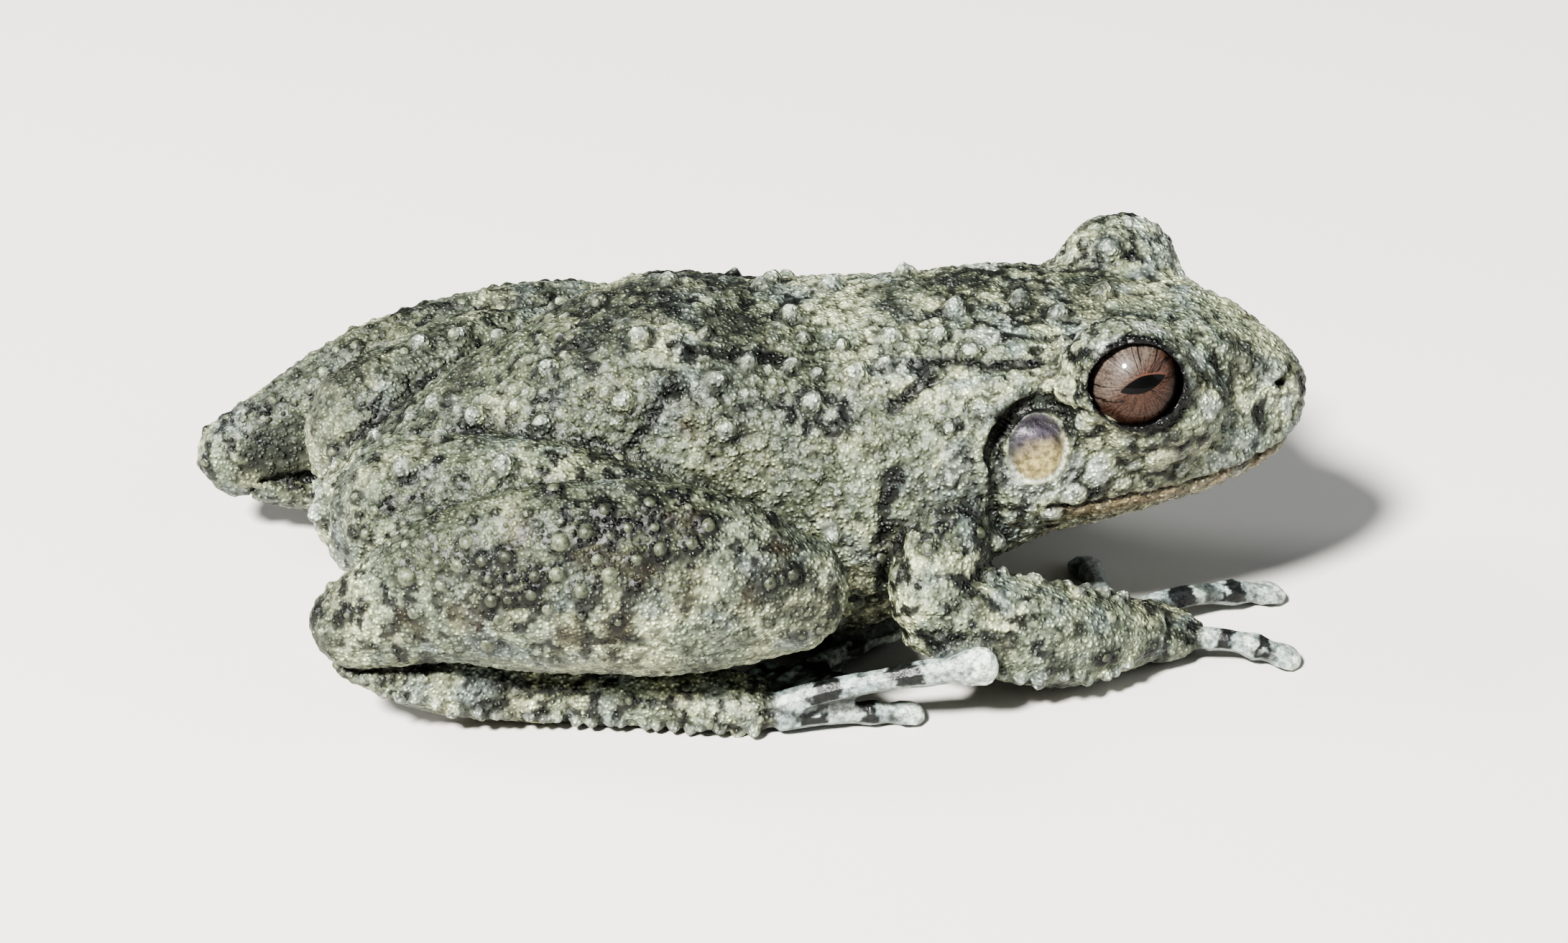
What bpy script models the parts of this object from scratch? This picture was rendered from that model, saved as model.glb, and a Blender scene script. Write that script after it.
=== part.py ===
"""Snouted tree frog resting with its legs folded, life size, as one still model.

The body runs along X with the snout towards +X and the left side towards +Y.
Named sizes are in millimetres; the finished meshes are in metres with Z up.
"""

import math
from dataclasses import dataclass
from functools import partial

import bmesh
import bpy
import numpy as np
from mathutils import Vector

# Sizes shared by the whole animal, in millimetres
MM = 0.001
GAP = 0.3
EYE_GAP = 0.25
FLOOR = 0.0
NECK_X = 27.6
SIDES = {"r": -1.0, "l": 1.0}

# Counts of faces round and along each form
BODY_RINGS = 38
BODY_SIDES = 36
LIMB_SIDES = 14
DIGIT_SIDES = 8
DIGIT_RINGS = 14
CAP_RINGS = 2
ROUND_SIDES = 20
LIMB_RINGS = {
    "shank": 13, "thigh": 9, "tarsus": 9, "foot": 8, "upper_arm": 6, "forearm": 9, "hand": 7,
}
TOES = 5
FINGERS = 4

# Share of the body's rings that are spaced evenly; the others crowd towards both ends
EVEN_SHARE = 0.65

# How far cutting tools reach past what they cut, and the distance at which points are one
CUTTER_REACH = 6.0
SLAB_LOW = -5.0
SLAB_HIGH = 20.0
SLAB_HALF_DEPTH = 12.0
MERGE_DISTANCE = 1e-5

# The head turns a little to its right: the spine bends evenly from the loins to the neck
BEND_FROM = 14.0
BEND_LENGTH = 16.0
HEAD_TURN = math.radians(-11.0)

# Trunk sections: x, half width, top, bottom, height of the widest line
TRUNK_SECTIONS = (
    (0.9, 1.1, 6.7, 4.7, 5.6),
    (1.7, 2.1, 7.6, 3.4, 5.6),
    (3.4, 3.0, 9.0, 2.1, 5.8),
    (6.2, 3.9, 11.0, 1.1, 6.6),
    (9.5, 5.0, 12.9, 0.5, 8.0),
    (12.5, 6.1, 14.0, 0.1, 9.0),
    (15.4, 7.0, 14.6, -0.3, 9.0),
    (18.6, 7.6, 14.1, -0.6, 8.2),
    (22.5, 7.8, 13.9, -0.3, 7.8),
    (26.0, 7.4, 14.2, 1.4, 8.2),
)
TRUNK_SQUARENESS = 2.25
TRUNK_ANGLES = (58, 30, 0, -30, -60)

# Head sections: x, then (y, z) of crown, brow, cheek, lip, under lip, jaw side and chin
HEAD_SECTIONS = (
    (28.2, (0, 14.3), (4.4, 13.7), (6.7, 11.4), (7.1, 8.4), (6.9, 6.6), (5.1, 4.4), (0, 3.2)),
    (30.2, (0, 14.1), (4.3, 13.6), (6.5, 11.3), (6.9, 8.5), (6.5, 7.3), (4.9, 5.4), (0, 4.4)),
    (32.3, (0, 14.0), (4.0, 13.5), (6.2, 11.2), (6.6, 8.5), (6.2, 7.5), (4.7, 6.1), (0, 5.2)),
    (34.3, (0, 14.0), (3.9, 13.7), (5.6, 11.2), (5.9, 8.5), (5.5, 7.6), (4.2, 6.5), (0, 5.8)),
    (36.6, (0, 13.8), (2.9, 13.6), (3.9, 11.1), (4.8, 8.6), (4.4, 7.7), (3.3, 6.8), (0, 6.3)),
    (38.8, (0, 13.1), (2.15, 12.9), (2.7, 10.9), (3.5, 8.7), (3.1, 7.95), (2.3, 7.35), (0, 7.0)),
    (40.4, (0, 12.2), (1.5, 11.9), (1.8, 10.5), (2.2, 9.0), (1.8, 8.3), (1.2, 7.9), (0, 7.7)),
    (41.3, (0, 11.4), (1.0, 11.1), (1.15, 10.3), (1.1, 9.4), (0.8, 8.95), (0.5, 8.75), (0, 8.6)),
)
VENT_TIP = (0.55, 0.0, 5.6)
SNOUT_TIP = (41.75, 0.0, 10.2)

# Line of the mouth as (x, z), from its corner to the front
MOUTH_LINE = ((30.9, 7.9), (33.0, 7.95), (36.0, 8.05), (38.5, 8.2), (40.2, 8.5), (43.0, 9.3))

# Eyes, lids, nostrils and ear drums, given for the left side of the straight body
EYE_CENTRE = (34.2, 5.05, 12.98)
EYE_AXIS = (0.02, 0.97, 0.24)
EYE_RADIUS = 2.1
EYE_OPENING = (1.85, 1.65)
EYE_SEAT = 0.35
EYE_FACES = (28, 16)
LID_CENTRE = (33.95, 5.0, 12.98)
LID_SIZES = (2.75, 2.45, 2.45)
LID_FACES = (22, 12)
ORBIT_CENTRE = (34.0, 3.6, 11.3)
ORBIT_SIZES = (4.2, 3.2, 2.7)
ORBIT_FACES = (20, 10)
NOSTRIL = (40.4, 1.7, 11.2)
NOSTRIL_AXIS = (0.25, 0.9, 0.35)
NOSTRIL_RADIUS = 0.21
NOSTRIL_DEPTH = 0.5
NOSTRIL_REACH = 1.5
NOSTRIL_FLARE = 1.6
NOSTRIL_SIDES = 8
DRUM_CENTRE = (30.2, 6.75, 10.2)
DRUM_AXIS = (-0.12, 0.98, 0.10)
DRUM_RADIUS = 1.2
DRUM_THICKNESS = 0.6
DRUM_STANDS_OUT = 0.12
DRUM_TAPER = 0.9

# Girth along each limb: place from 0 to 1, half width, half height
THIGH_GIRTH = ((0.0, 2.9, 3.3), (0.3, 3.2, 4.0), (0.6, 2.8, 3.7), (1.0, 1.9, 2.6))
SHANK_GIRTH = (
    (0.0, 1.5, 1.95), (0.12, 1.8, 2.5), (0.32, 2.4, 3.6), (0.52, 2.7, 4.0),
    (0.72, 2.7, 4.0), (0.9, 2.3, 3.4), (1.0, 1.8, 2.6),
)
TARSUS_GIRTH = ((0.0, 1.25, 1.35), (0.3, 1.3, 1.45), (0.7, 1.25, 1.4), (1.0, 1.25, 1.35))
FOOT_GIRTH = ((0.0, 1.2, 1.35), (0.4, 1.3, 1.3), (0.8, 1.5, 1.15), (1.0, 1.5, 0.95))
UPPER_ARM_GIRTH = ((0.0, 2.0, 2.2), (0.5, 2.0, 2.2), (1.0, 1.8, 2.0))
FOREARM_GIRTH = ((0.0, 1.9, 2.0), (0.3, 2.05, 2.15), (0.65, 1.9, 2.05), (1.0, 1.3, 1.4))
HAND_GIRTH = ((0.0, 1.4, 1.35), (0.5, 1.8, 1.1), (1.0, 1.7, 0.9))
TOE_GIRTH = (
    (0.0, 0.52, 0.52), (0.3, 0.48, 0.48), (0.58, 0.45, 0.45), (0.72, 0.60, 0.52),
    (0.84, 0.42, 0.42), (0.93, 0.74, 0.46), (1.0, 0.80, 0.44),
)
RAISED_TOE_GIRTH = (
    (0.0, 0.56, 0.56), (0.3, 0.50, 0.50), (0.6, 0.48, 0.48), (0.74, 0.52, 0.60),
    (0.84, 0.46, 0.56), (0.93, 0.50, 0.84), (1.0, 0.46, 0.90),
)
FINGER_GIRTH = (
    (0.0, 0.60, 0.60), (0.3, 0.50, 0.50), (0.55, 0.47, 0.47), (0.70, 0.64, 0.58),
    (0.84, 0.44, 0.44), (0.93, 0.78, 0.50), (1.0, 0.84, 0.46),
)

# How round the root and the tip of a piece are, from 0 flat to 1 fully round
FULL_ROUND = (1.0, 1.0)
FOOT_ROUND = (0.3, 0.6)
HAND_ROUND = (0.3, 0.7)
DIGIT_ROUND = (0.5, 1.0)

# Steps along a toe or finger, and how far its arch leans back to the root
DIGIT_STEPS = 4
ARCH_LEAN = 0.5

# Webs between neighbouring toes, as a share of the toes' length
WEB_THICKNESS = 0.5
WEB_REACH = (0.25, 0.35, 0.5, 0.6)
WEB_SCALLOP = 0.25
WEB_ROWS = 4

# Height of the middle of a disc that rests on the floor
TOE_REST = 0.36
FINGER_REST = 0.37


@dataclass(frozen=True)
class Digit:
    """One toe or finger: its root, the middle of the disc at its tip, and its arch."""

    root: tuple
    tip: tuple
    arch: float
    girth: tuple


@dataclass(frozen=True)
class HindLeg:
    """Paths of the pieces of one hind leg, and its toes from the inner to the outer."""

    thigh: tuple
    shank: tuple
    tarsus: tuple
    foot: tuple
    toes: tuple


@dataclass(frozen=True)
class ForeLeg:
    """Paths of the pieces of one arm, and its fingers from the inner to the outer."""

    upper_arm: tuple
    forearm: tuple
    hand: tuple
    fingers: tuple


HIND_LEGS = {
    "r": HindLeg(
        thigh=((4.2, -4.0, 7.2), (9.0, -5.8, 7.2), (13.6, -7.8, 6.9), (16.8, -9.4, 6.6)),
        shank=((1.8, -8.4, 5.0), (5.2, -9.2, 6.6), (10.5, -10.2, 7.4), (15.5, -10.9, 7.1),
               (18.8, -11.1, 6.5)),
        tarsus=((2.0, -8.1, 3.7), (5.2, -8.1, 2.1), (9.6, -8.3, 1.25)),
        foot=((9.9, -8.4, 1.25), (14.0, -9.1, 1.15), (17.6, -9.9, 0.85)),
        toes=(
            Digit((16.2, -9.1, 0.7), (18.6, -6.6, TOE_REST), 0.1, TOE_GIRTH),
            Digit((17.2, -9.1, 0.7), (21.0, -6.2, TOE_REST), 0.2, TOE_GIRTH),
            Digit((18.0, -9.4, 0.8), (23.8, -4.5, 0.7), 0.3, TOE_GIRTH),
            Digit((18.4, -10.6, 1.2), (26.2, -12.1, 3.1), 0.3, RAISED_TOE_GIRTH),
            Digit((18.3, -10.9, 0.7), (23.6, -10.7, TOE_REST), 0.2, TOE_GIRTH),
        ),
    ),
    "l": HindLeg(
        thigh=((3.6, 4.0, 7.2), (8.0, 5.8, 7.4), (12.6, 8.0, 7.1), (15.6, 9.6, 6.9)),
        shank=((-2.2, 9.3, 4.0), (2.0, 9.8, 5.3), (7.6, 10.4, 6.2), (13.0, 10.9, 6.7),
               (16.2, 11.0, 6.5)),
        tarsus=((-2.3, 9.0, 3.6), (2.0, 9.2, 2.4), (7.0, 9.6, 1.25)),
        foot=((7.3, 9.7, 1.25), (11.4, 10.4, 1.15), (15.0, 11.0, 0.85)),
        toes=(
            Digit((13.6, 9.9, 0.7), (16.2, 7.8, TOE_REST), 0.1, TOE_GIRTH),
            Digit((14.6, 9.9, 0.7), (18.4, 7.6, TOE_REST), 0.2, TOE_GIRTH),
            Digit((15.4, 10.2, 0.8), (21.4, 8.6, TOE_REST), 0.3, TOE_GIRTH),
            Digit((15.8, 10.9, 0.8), (24.0, 11.4, TOE_REST), 0.4, TOE_GIRTH),
            Digit((15.7, 11.7, 0.7), (20.8, 13.4, TOE_REST), 0.2, TOE_GIRTH),
        ),
    ),
}

FORE_LEGS = {
    "r": ForeLeg(
        upper_arm=((26.4, -6.4, 7.0), (25.2, -8.0, 5.9), (24.8, -9.1, 4.7)),
        forearm=((25.0, -9.3, 4.2), (29.4, -9.5, 2.8), (33.4, -8.2, 1.8)),
        hand=((33.0, -8.2, 1.7), (34.6, -7.0, 1.05), (35.4, -6.3, 0.8)),
        fingers=(
            Digit((32.6, -5.6, 0.85), (31.0, -2.6, FINGER_REST), 0.2, FINGER_GIRTH),
            Digit((33.0, -4.9, 0.95), (33.3, 0.3, FINGER_REST), 0.5, FINGER_GIRTH),
            Digit((34.6, -4.9, 0.95), (40.5, -3.3, FINGER_REST), 0.5, FINGER_GIRTH),
            Digit((35.6, -7.6, 0.85), (39.7, -8.7, FINGER_REST), 0.5, FINGER_GIRTH),
        ),
    ),
    "l": ForeLeg(
        upper_arm=((26.2, 6.0, 6.8), (24.6, 7.6, 5.6), (23.6, 8.8, 4.3)),
        forearm=((23.9, 9.1, 3.9), (26.2, 9.7, 2.9), (28.8, 9.9, 2.0)),
        hand=((29.0, 9.9, 1.7), (30.4, 9.7, 1.05), (31.6, 9.3, 0.8)),
        fingers=(
            Digit((30.5, 8.2, 0.85), (30.0, 5.3, FINGER_REST), 0.2, FINGER_GIRTH),
            Digit((31.6, 8.1, 0.85), (33.8, 5.3, FINGER_REST), 0.4, FINGER_GIRTH),
            Digit((32.4, 8.9, 0.85), (36.0, 8.7, FINGER_REST), 0.5, FINGER_GIRTH),
            Digit((32.2, 10.1, 0.85), (34.8, 12.0, FINGER_REST), 0.4, FINGER_GIRTH),
        ),
    ),
}

# Colour and roughness of each finish
FINISHES = {
    "back_skin": ((0.30, 0.33, 0.25), 0.45),
    "belly_skin": ((0.66, 0.65, 0.55), 0.5),
    "limb_skin": ((0.38, 0.42, 0.34), 0.45),
    "digit_skin": ((0.60, 0.64, 0.62), 0.4),
    "ear_drum": ((0.52, 0.47, 0.44), 0.35),
    "eye": ((0.30, 0.14, 0.08), 0.08),
}


def clear_scene():
    """Remove every object that the file starts with."""
    for old in list(bpy.data.objects):
        bpy.data.objects.remove(old, do_unlink=True)


def make_finish(name):
    """Return the Principled material of a finish."""
    colour, roughness = FINISHES[name]
    material = bpy.data.materials.new(name)
    material.use_nodes = True
    shader = material.node_tree.nodes["Principled BSDF"]
    shader.inputs["Base Color"].default_value = (*colour, 1.0)
    shader.inputs["Roughness"].default_value = roughness
    shader.inputs["Metallic"].default_value = 0.0
    return material


def smooth(places, rows, at):
    """Read rows of values at new places, on a smooth curve through the known places."""
    places = np.asarray(places, float)
    rows = np.asarray(rows, float)
    at = np.asarray(at, float)
    slopes = np.gradient(rows, places, axis=0)
    first = np.clip(np.searchsorted(places, at, side="right") - 1, 0, len(places) - 2)
    span = (places[first + 1] - places[first])[:, None]
    t = (at - places[first])[:, None] / span
    start = (1 + 2 * t) * (1 - t) ** 2 * rows[first] + t * (1 - t) ** 2 * span * slopes[first]
    end = t * t * (3 - 2 * t) * rows[first + 1] - t * t * (1 - t) * span * slopes[first + 1]
    return start + end


def carried(point):
    """Carry a point of the straight body onto the sideways bend of the spine."""
    x, y, z = point
    turned = min(max(x - BEND_FROM, 0.0), BEND_LENGTH)
    beyond = max(x - BEND_FROM - BEND_LENGTH, 0.0)
    if turned == 0:
        return Vector((x, y, z))
    angle = HEAD_TURN * turned / BEND_LENGTH
    radius = BEND_LENGTH / HEAD_TURN
    spine_x = BEND_FROM + radius * math.sin(angle) + beyond * math.cos(angle)
    spine_y = radius * (1 - math.cos(angle)) + beyond * math.sin(angle)
    return Vector((spine_x - y * math.sin(angle), spine_y + y * math.cos(angle), z))


def on_side(point, side):
    """Return where a point given for the left of the straight body lies on one side."""
    return carried((point[0], point[1] * SIDES[side], point[2]))


def facing(centre, axis, side):
    """Return the direction of an axis given for the left of the straight body."""
    tip = [c + a for c, a in zip(centre, axis)]
    return (on_side(tip, side) - on_side(centre, side)).normalized()


def above_floor(points):
    """Flatten whatever reaches below the floor to the level of the floor."""
    return [Vector((point[0], point[1], max(point[2], FLOOR))) for point in points]


def close_rings(rings, start_pole, end_pole):
    """Skin a row of rings into one closed form, with a pole at each end."""
    count = len(rings[0])
    points = [Vector(start_pole)]
    for ring in rings:
        points.extend(ring)
    points.append(Vector(end_pole))
    last_ring = 1 + (len(rings) - 1) * count
    faces = []
    for side in range(count):
        following = (side + 1) % count
        faces.append((0, 1 + following, 1 + side))
        for row in range(len(rings) - 1):
            near = 1 + row * count
            far = near + count
            faces.append((near + side, near + following, far + following, far + side))
        faces.append((len(points) - 1, last_ring + side, last_ring + following))
    return points, faces


def oval_loop(centre, forward, half_width, half_height, sides):
    """Return an oval loop of points round a centre, square to a direction."""
    across = forward.cross(Vector((0, 0, 1))).normalized()
    upward = across.cross(forward).normalized()
    loop = []
    for side in range(sides):
        angle = 2 * math.pi * (side + 0.5) / sides
        offset = across * (math.cos(angle) * half_width)
        loop.append(centre + offset + upward * (math.sin(angle) * half_height))
    return loop


def round_end(centre, outward, forward, size, reach, sides):
    """Return the shrinking loops that round off the end of a limb, and its pole."""
    loops = []
    for step in range(1, CAP_RINGS + 1):
        angle = math.pi / 2 * step / (CAP_RINGS + 1)
        shifted = centre + outward * (reach * math.sin(angle))
        loops.append(oval_loop(shifted, forward, *(size * math.cos(angle)), sides))
    return loops, centre + outward * reach


def tube_form(path, girth, rings, sides, grow=0.0, roundness=FULL_ROUND):
    """Return a limb along a path, with rounded ends, grown outwards if asked."""
    path = np.asarray(path, float)
    steps = np.linalg.norm(np.diff(path, axis=0), axis=1)
    places = np.concatenate([[0.0], np.cumsum(steps)]) / steps.sum()
    at = np.linspace(0.0, 1.0, rings)
    centres = smooth(places, path, at)
    forward = [Vector(step).normalized() for step in np.gradient(centres, axis=0)]
    centres = [Vector(centre) for centre in centres]
    sizes = smooth([row[0] for row in girth], [row[1:] for row in girth], at)
    reaches = [size.mean() * share + grow for size, share in zip((sizes[0], sizes[-1]), roundness)]
    sizes = sizes + grow
    loops = [oval_loop(*row, sides) for row in zip(centres, forward, sizes[:, 0], sizes[:, 1])]
    start_cap, start_pole = round_end(
        centres[0], -forward[0], forward[0], sizes[0], reaches[0], sides)
    end_cap, end_pole = round_end(
        centres[-1], forward[-1], forward[-1], sizes[-1], reaches[1], sides)
    points, faces = close_rings([*reversed(start_cap), *loops, *end_cap], start_pole, end_pole)
    return above_floor(points), faces


def trunk_landmarks(half_width, top, bottom, widest):
    """Return seven (y, z) landmarks down one side of a rounded trunk section."""
    landmarks = [(0.0, top)]
    for degrees in TRUNK_ANGLES:
        angle = math.radians(degrees)
        reach = math.cos(angle) ** (2 / TRUNK_SQUARENESS)
        rise = abs(math.sin(angle)) ** (2 / TRUNK_SQUARENESS)
        height = (top if degrees > 0 else bottom) - widest
        landmarks.append((half_width * reach, widest + height * rise))
    return [*landmarks, (0.0, bottom)]


def body_form(grow=0.0):
    """Return trunk and head as one skin on the bent spine, grown outwards if asked."""
    sections = [(row[0], trunk_landmarks(*row[1:])) for row in TRUNK_SECTIONS]
    sections += [(row[0], row[1:]) for row in HEAD_SECTIONS]
    places = [x for x, _ in sections]
    rows = [np.array(landmarks, float).ravel() for _, landmarks in sections]
    even = np.linspace(0.0, 1.0, BODY_RINGS)
    crowded = (1 - np.cos(math.pi * even)) / 2
    spread = EVEN_SHARE * even + (1 - EVEN_SHARE) * crowded
    at = places[0] + (places[-1] - places[0]) * spread
    rings = []
    for x, row in zip(at, smooth(places, rows, at)):
        half = row.reshape(-1, 2)
        outline = np.vstack([half, half[-2:0:-1] * (-1, 1)])
        closed = np.vstack([outline[-1:], outline, outline[:2]])
        turns = np.linspace(0, len(outline), BODY_SIDES, endpoint=False)
        ring = smooth(np.arange(-1, len(outline) + 2), closed, turns)
        spokes = ring - ring.mean(axis=0)
        lengths = np.linalg.norm(spokes, axis=1, keepdims=True)
        ring = ring + spokes / lengths * grow
        rings.append([carried((x, y, z)) for y, z in ring])
    start = carried((VENT_TIP[0] - grow, *VENT_TIP[1:]))
    end = carried((SNOUT_TIP[0] + grow, *SNOUT_TIP[1:]))
    points, faces = close_rings(rings, start, end)
    return above_floor(points), faces


def digit_path(digit):
    """Return the points along a toe or finger, arched between its root and its disc."""
    path = []
    for step in range(DIGIT_STEPS + 1):
        t = step / DIGIT_STEPS
        point = Vector(digit.root).lerp(Vector(digit.tip), t)
        point.z += digit.arch * 4 * t * (1 - t) * (1 - ARCH_LEAN * t)
        path.append(point)
    return path


def digit_form(digit, grow=0.0):
    """Return a toe or finger with the disc at its tip."""
    return tube_form(digit_path(digit), digit.girth, DIGIT_RINGS, DIGIT_SIDES, grow, DIGIT_ROUND)


def web_form(inner, outer, reach):
    """Return the thin web between two toes, with a scalloped edge."""
    edges = [np.array([tuple(point) for point in digit_path(toe)]) for toe in (inner, outer)]
    paths = (edges[0], (edges[0] + edges[1]) / 2, edges[1])
    places = np.linspace(0.0, 1.0, len(edges[0]))
    at = np.linspace(0.0, reach, WEB_ROWS + 1)
    shares = (1.0, 1.0 - WEB_SCALLOP, 1.0)
    columns = np.array([smooth(places, path, at * share) for path, share in zip(paths, shares)])
    across = np.broadcast_to(columns[2] - columns[0], columns.shape)
    square_to = np.cross(across, np.gradient(columns, axis=1))
    offsets = square_to / np.linalg.norm(square_to, axis=2, keepdims=True) * WEB_THICKNESS / 2
    upper, lower = columns + offsets, (columns - offsets)[::-1]
    rings = []
    for row in range(WEB_ROWS + 1):
        rings.append([Vector(point) for point in (*upper[:, row], *lower[:, row])])
    points, faces = close_rings(rings, columns[1][0], columns[1][-1])
    return above_floor(points), faces


def ball_form(centre, sizes, side, segments, rows):
    """Return an oval ball on one side, given for the left of the straight body."""
    rings = []
    for row in range(1, rows):
        angle = math.pi * row / rows
        ring = []
        for segment in range(segments):
            turn = 2 * math.pi * segment / segments
            spoke = (math.cos(turn) * math.sin(angle), math.sin(turn) * math.sin(angle), -math.cos(angle))
            ring.append(on_side([c + s * size for c, s, size in zip(centre, spoke, sizes)], side))
        rings.append(ring)
    lowest = (centre[0], centre[1], centre[2] - sizes[2])
    highest = (centre[0], centre[1], centre[2] + sizes[2])
    return close_rings(rings, on_side(lowest, side), on_side(highest, side))


def plug_form(start, end, half_width, half_height, sides, taper=1.0):
    """Return a straight oval plug from start to end, with flat ends."""
    forward = (end - start).normalized()
    rings = [
        oval_loop(start, forward, half_width, half_height, sides),
        oval_loop(end, forward, half_width * taper, half_height * taper, sides),
    ]
    return close_rings(rings, start, end)


def slab_form(outline, half_depth):
    """Return a slab whose (x, z) outline is drawn out to both sides of the straight body."""
    count = len(outline)
    points = [carried((x, y, z)) for y in (-half_depth, half_depth) for x, z in outline]
    faces = [tuple(range(count)), tuple(range(2 * count - 1, count - 1, -1))]
    for index in range(count):
        following = (index + 1) % count
        faces.append((index, following, count + following, count + index))
    return points, faces


def build_mesh(name, points, faces):
    """Return an object that holds the points and faces, with its faces pointing out."""
    mesh = bpy.data.meshes.new(name)
    mesh.from_pydata([tuple(point) for point in points], [], faces)
    work = bmesh.new()
    work.from_mesh(mesh)
    bmesh.ops.recalc_face_normals(work, faces=work.faces)
    work.to_mesh(mesh)
    work.free()
    thing = bpy.data.objects.new(name, mesh)
    bpy.context.scene.collection.objects.link(thing)
    return thing


def combine(thing, form, operation):
    """Add a form to an object or take it away, and remove the tool that did it."""
    tool = build_mesh("tool", *form)
    tool.hide_render = True
    tool.display_type = "WIRE"
    change = thing.modifiers.new("change", "BOOLEAN")
    change.operation = operation
    change.solver = "EXACT"
    change.object = tool
    graph = bpy.context.evaluated_depsgraph_get()
    result = bpy.data.meshes.new_from_object(thing.evaluated_get(graph))
    thing.modifiers.clear()
    thing.data = result
    bpy.data.objects.remove(tool, do_unlink=True)


def connected(start):
    """Return every vertex that edges join to the one given."""
    found = {start}
    front = [start]
    while front:
        for edge in front.pop().link_edges:
            for vertex in edge.verts:
                if vertex not in found:
                    found.add(vertex)
                    front.append(vertex)
    return found


def closed_surfaces(thing):
    """Return each closed surface of an object as (volume, points, faces), largest first."""
    work = bmesh.new()
    work.from_mesh(thing.data)
    bmesh.ops.remove_doubles(work, verts=work.verts, dist=MERGE_DISTANCE)
    bmesh.ops.triangulate(work, faces=work.faces)
    work.verts.index_update()
    unseen = set(work.verts)
    surfaces = []
    while unseen:
        group = connected(next(iter(unseen)))
        unseen -= group
        members = sorted(group, key=lambda vertex: vertex.index)
        places = {vertex: index for index, vertex in enumerate(members)}
        points = [vertex.co.copy() for vertex in members]
        faces = [tuple(places[v] for v in face.verts) for face in work.faces if face.verts[0] in group]
        volume = sum(points[a].dot(points[b].cross(points[c])) / 6 for a, b, c in faces)
        surfaces.append((volume, points, faces))
    work.free()
    return sorted(surfaces, key=lambda surface: surface[0], reverse=True)


def keep_largest(thing):
    """Keep only the largest closed surface of an object."""
    _, points, faces = closed_surfaces(thing)[0]
    name = thing.name
    bpy.data.objects.remove(thing, do_unlink=True)
    return build_mesh(name, points, faces)


def part_in_two(thing, names):
    """Replace an object that a cut has parted by its two largest pieces."""
    surfaces = closed_surfaces(thing)[:2]
    bpy.data.objects.remove(thing, do_unlink=True)
    return [build_mesh(name, *surface[1:]) for name, surface in zip(names, surfaces)]


def add_eye_rims(head, side):
    """Raise the orbit and lids of one eye and cut the opening between the lids."""
    combine(head, ball_form(ORBIT_CENTRE, ORBIT_SIZES, side, *ORBIT_FACES), "UNION")
    combine(head, ball_form(LID_CENTRE, LID_SIZES, side, *LID_FACES), "UNION")
    axis = facing(EYE_CENTRE, EYE_AXIS, side)
    seat = on_side(EYE_CENTRE, side) + axis * EYE_SEAT
    socket = plug_form(seat, seat + axis * CUTTER_REACH, *EYE_OPENING, ROUND_SIDES)
    combine(head, socket, "DIFFERENCE")


def cut_drum_pit(head, side):
    """Cut the shallow pit that one ear drum sits in."""
    axis = facing(DRUM_CENTRE, DRUM_AXIS, side)
    centre = on_side(DRUM_CENTRE, side)
    inner = centre + axis * (DRUM_STANDS_OUT - DRUM_THICKNESS - GAP)
    radius = DRUM_RADIUS + GAP
    pit = plug_form(inner, centre + axis * CUTTER_REACH, radius, radius, ROUND_SIDES)
    combine(head, pit, "DIFFERENCE")


def cut_nostril(head, side):
    """Cut one nostril, a small pit that widens outwards."""
    axis = facing(NOSTRIL, NOSTRIL_AXIS, side)
    centre = on_side(NOSTRIL, side)
    pit = plug_form(centre - axis * NOSTRIL_DEPTH, centre + axis * NOSTRIL_REACH,
                    NOSTRIL_RADIUS, NOSTRIL_RADIUS, NOSTRIL_SIDES, NOSTRIL_FLARE)
    combine(head, pit, "DIFFERENCE")


def mouth_outline():
    """Return the (x, z) outline of the thin cut along the mouth and down behind the jaw."""
    half = GAP / 2
    back_x, back_z = MOUTH_LINE[0]
    upper = [(x, z + half) for x, z in MOUTH_LINE[1:]]
    lower = [(x, z - half) for x, z in reversed(MOUTH_LINE[1:])]
    behind = [(back_x - half, SLAB_LOW), (back_x - half, back_z + half)]
    ahead = [(back_x + half, back_z - half), (back_x + half, SLAB_LOW)]
    return [*behind, *upper, *lower, *ahead]


def make_body():
    """Make torso, head and lower jaw: one skin parted by thin cuts."""
    whole = build_mesh("whole", *body_form())
    behind, ahead = NECK_X - GAP / 2, NECK_X + GAP / 2
    neck = [(behind, SLAB_LOW), (ahead, SLAB_LOW), (ahead, SLAB_HIGH), (behind, SLAB_HIGH)]
    combine(whole, slab_form(neck, SLAB_HALF_DEPTH), "DIFFERENCE")
    torso, head = part_in_two(whole, ("torso", "skull"))
    for side in SIDES:
        add_eye_rims(head, side)
        cut_drum_pit(head, side)
        cut_nostril(head, side)
    combine(head, slab_form(mouth_outline(), SLAB_HALF_DEPTH), "DIFFERENCE")
    return [torso, *part_in_two(head, ("head", "lower_jaw"))]


def make_eye(side):
    """Make one eye: the front of a ball, seated in the opening between the lids."""
    centre = on_side(EYE_CENTRE, side)
    axis = facing(EYE_CENTRE, EYE_AXIS, side)
    seat = centre + axis * (EYE_SEAT + EYE_GAP)
    half_sizes = [half - EYE_GAP for half in EYE_OPENING]
    plug = plug_form(seat, centre + axis * CUTTER_REACH, *half_sizes, ROUND_SIDES)
    eye = build_mesh(f"eye_{side}", *plug)
    combine(eye, ball_form(EYE_CENTRE, [EYE_RADIUS] * 3, side, *EYE_FACES), "INTERSECT")
    return keep_largest(eye)


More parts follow.
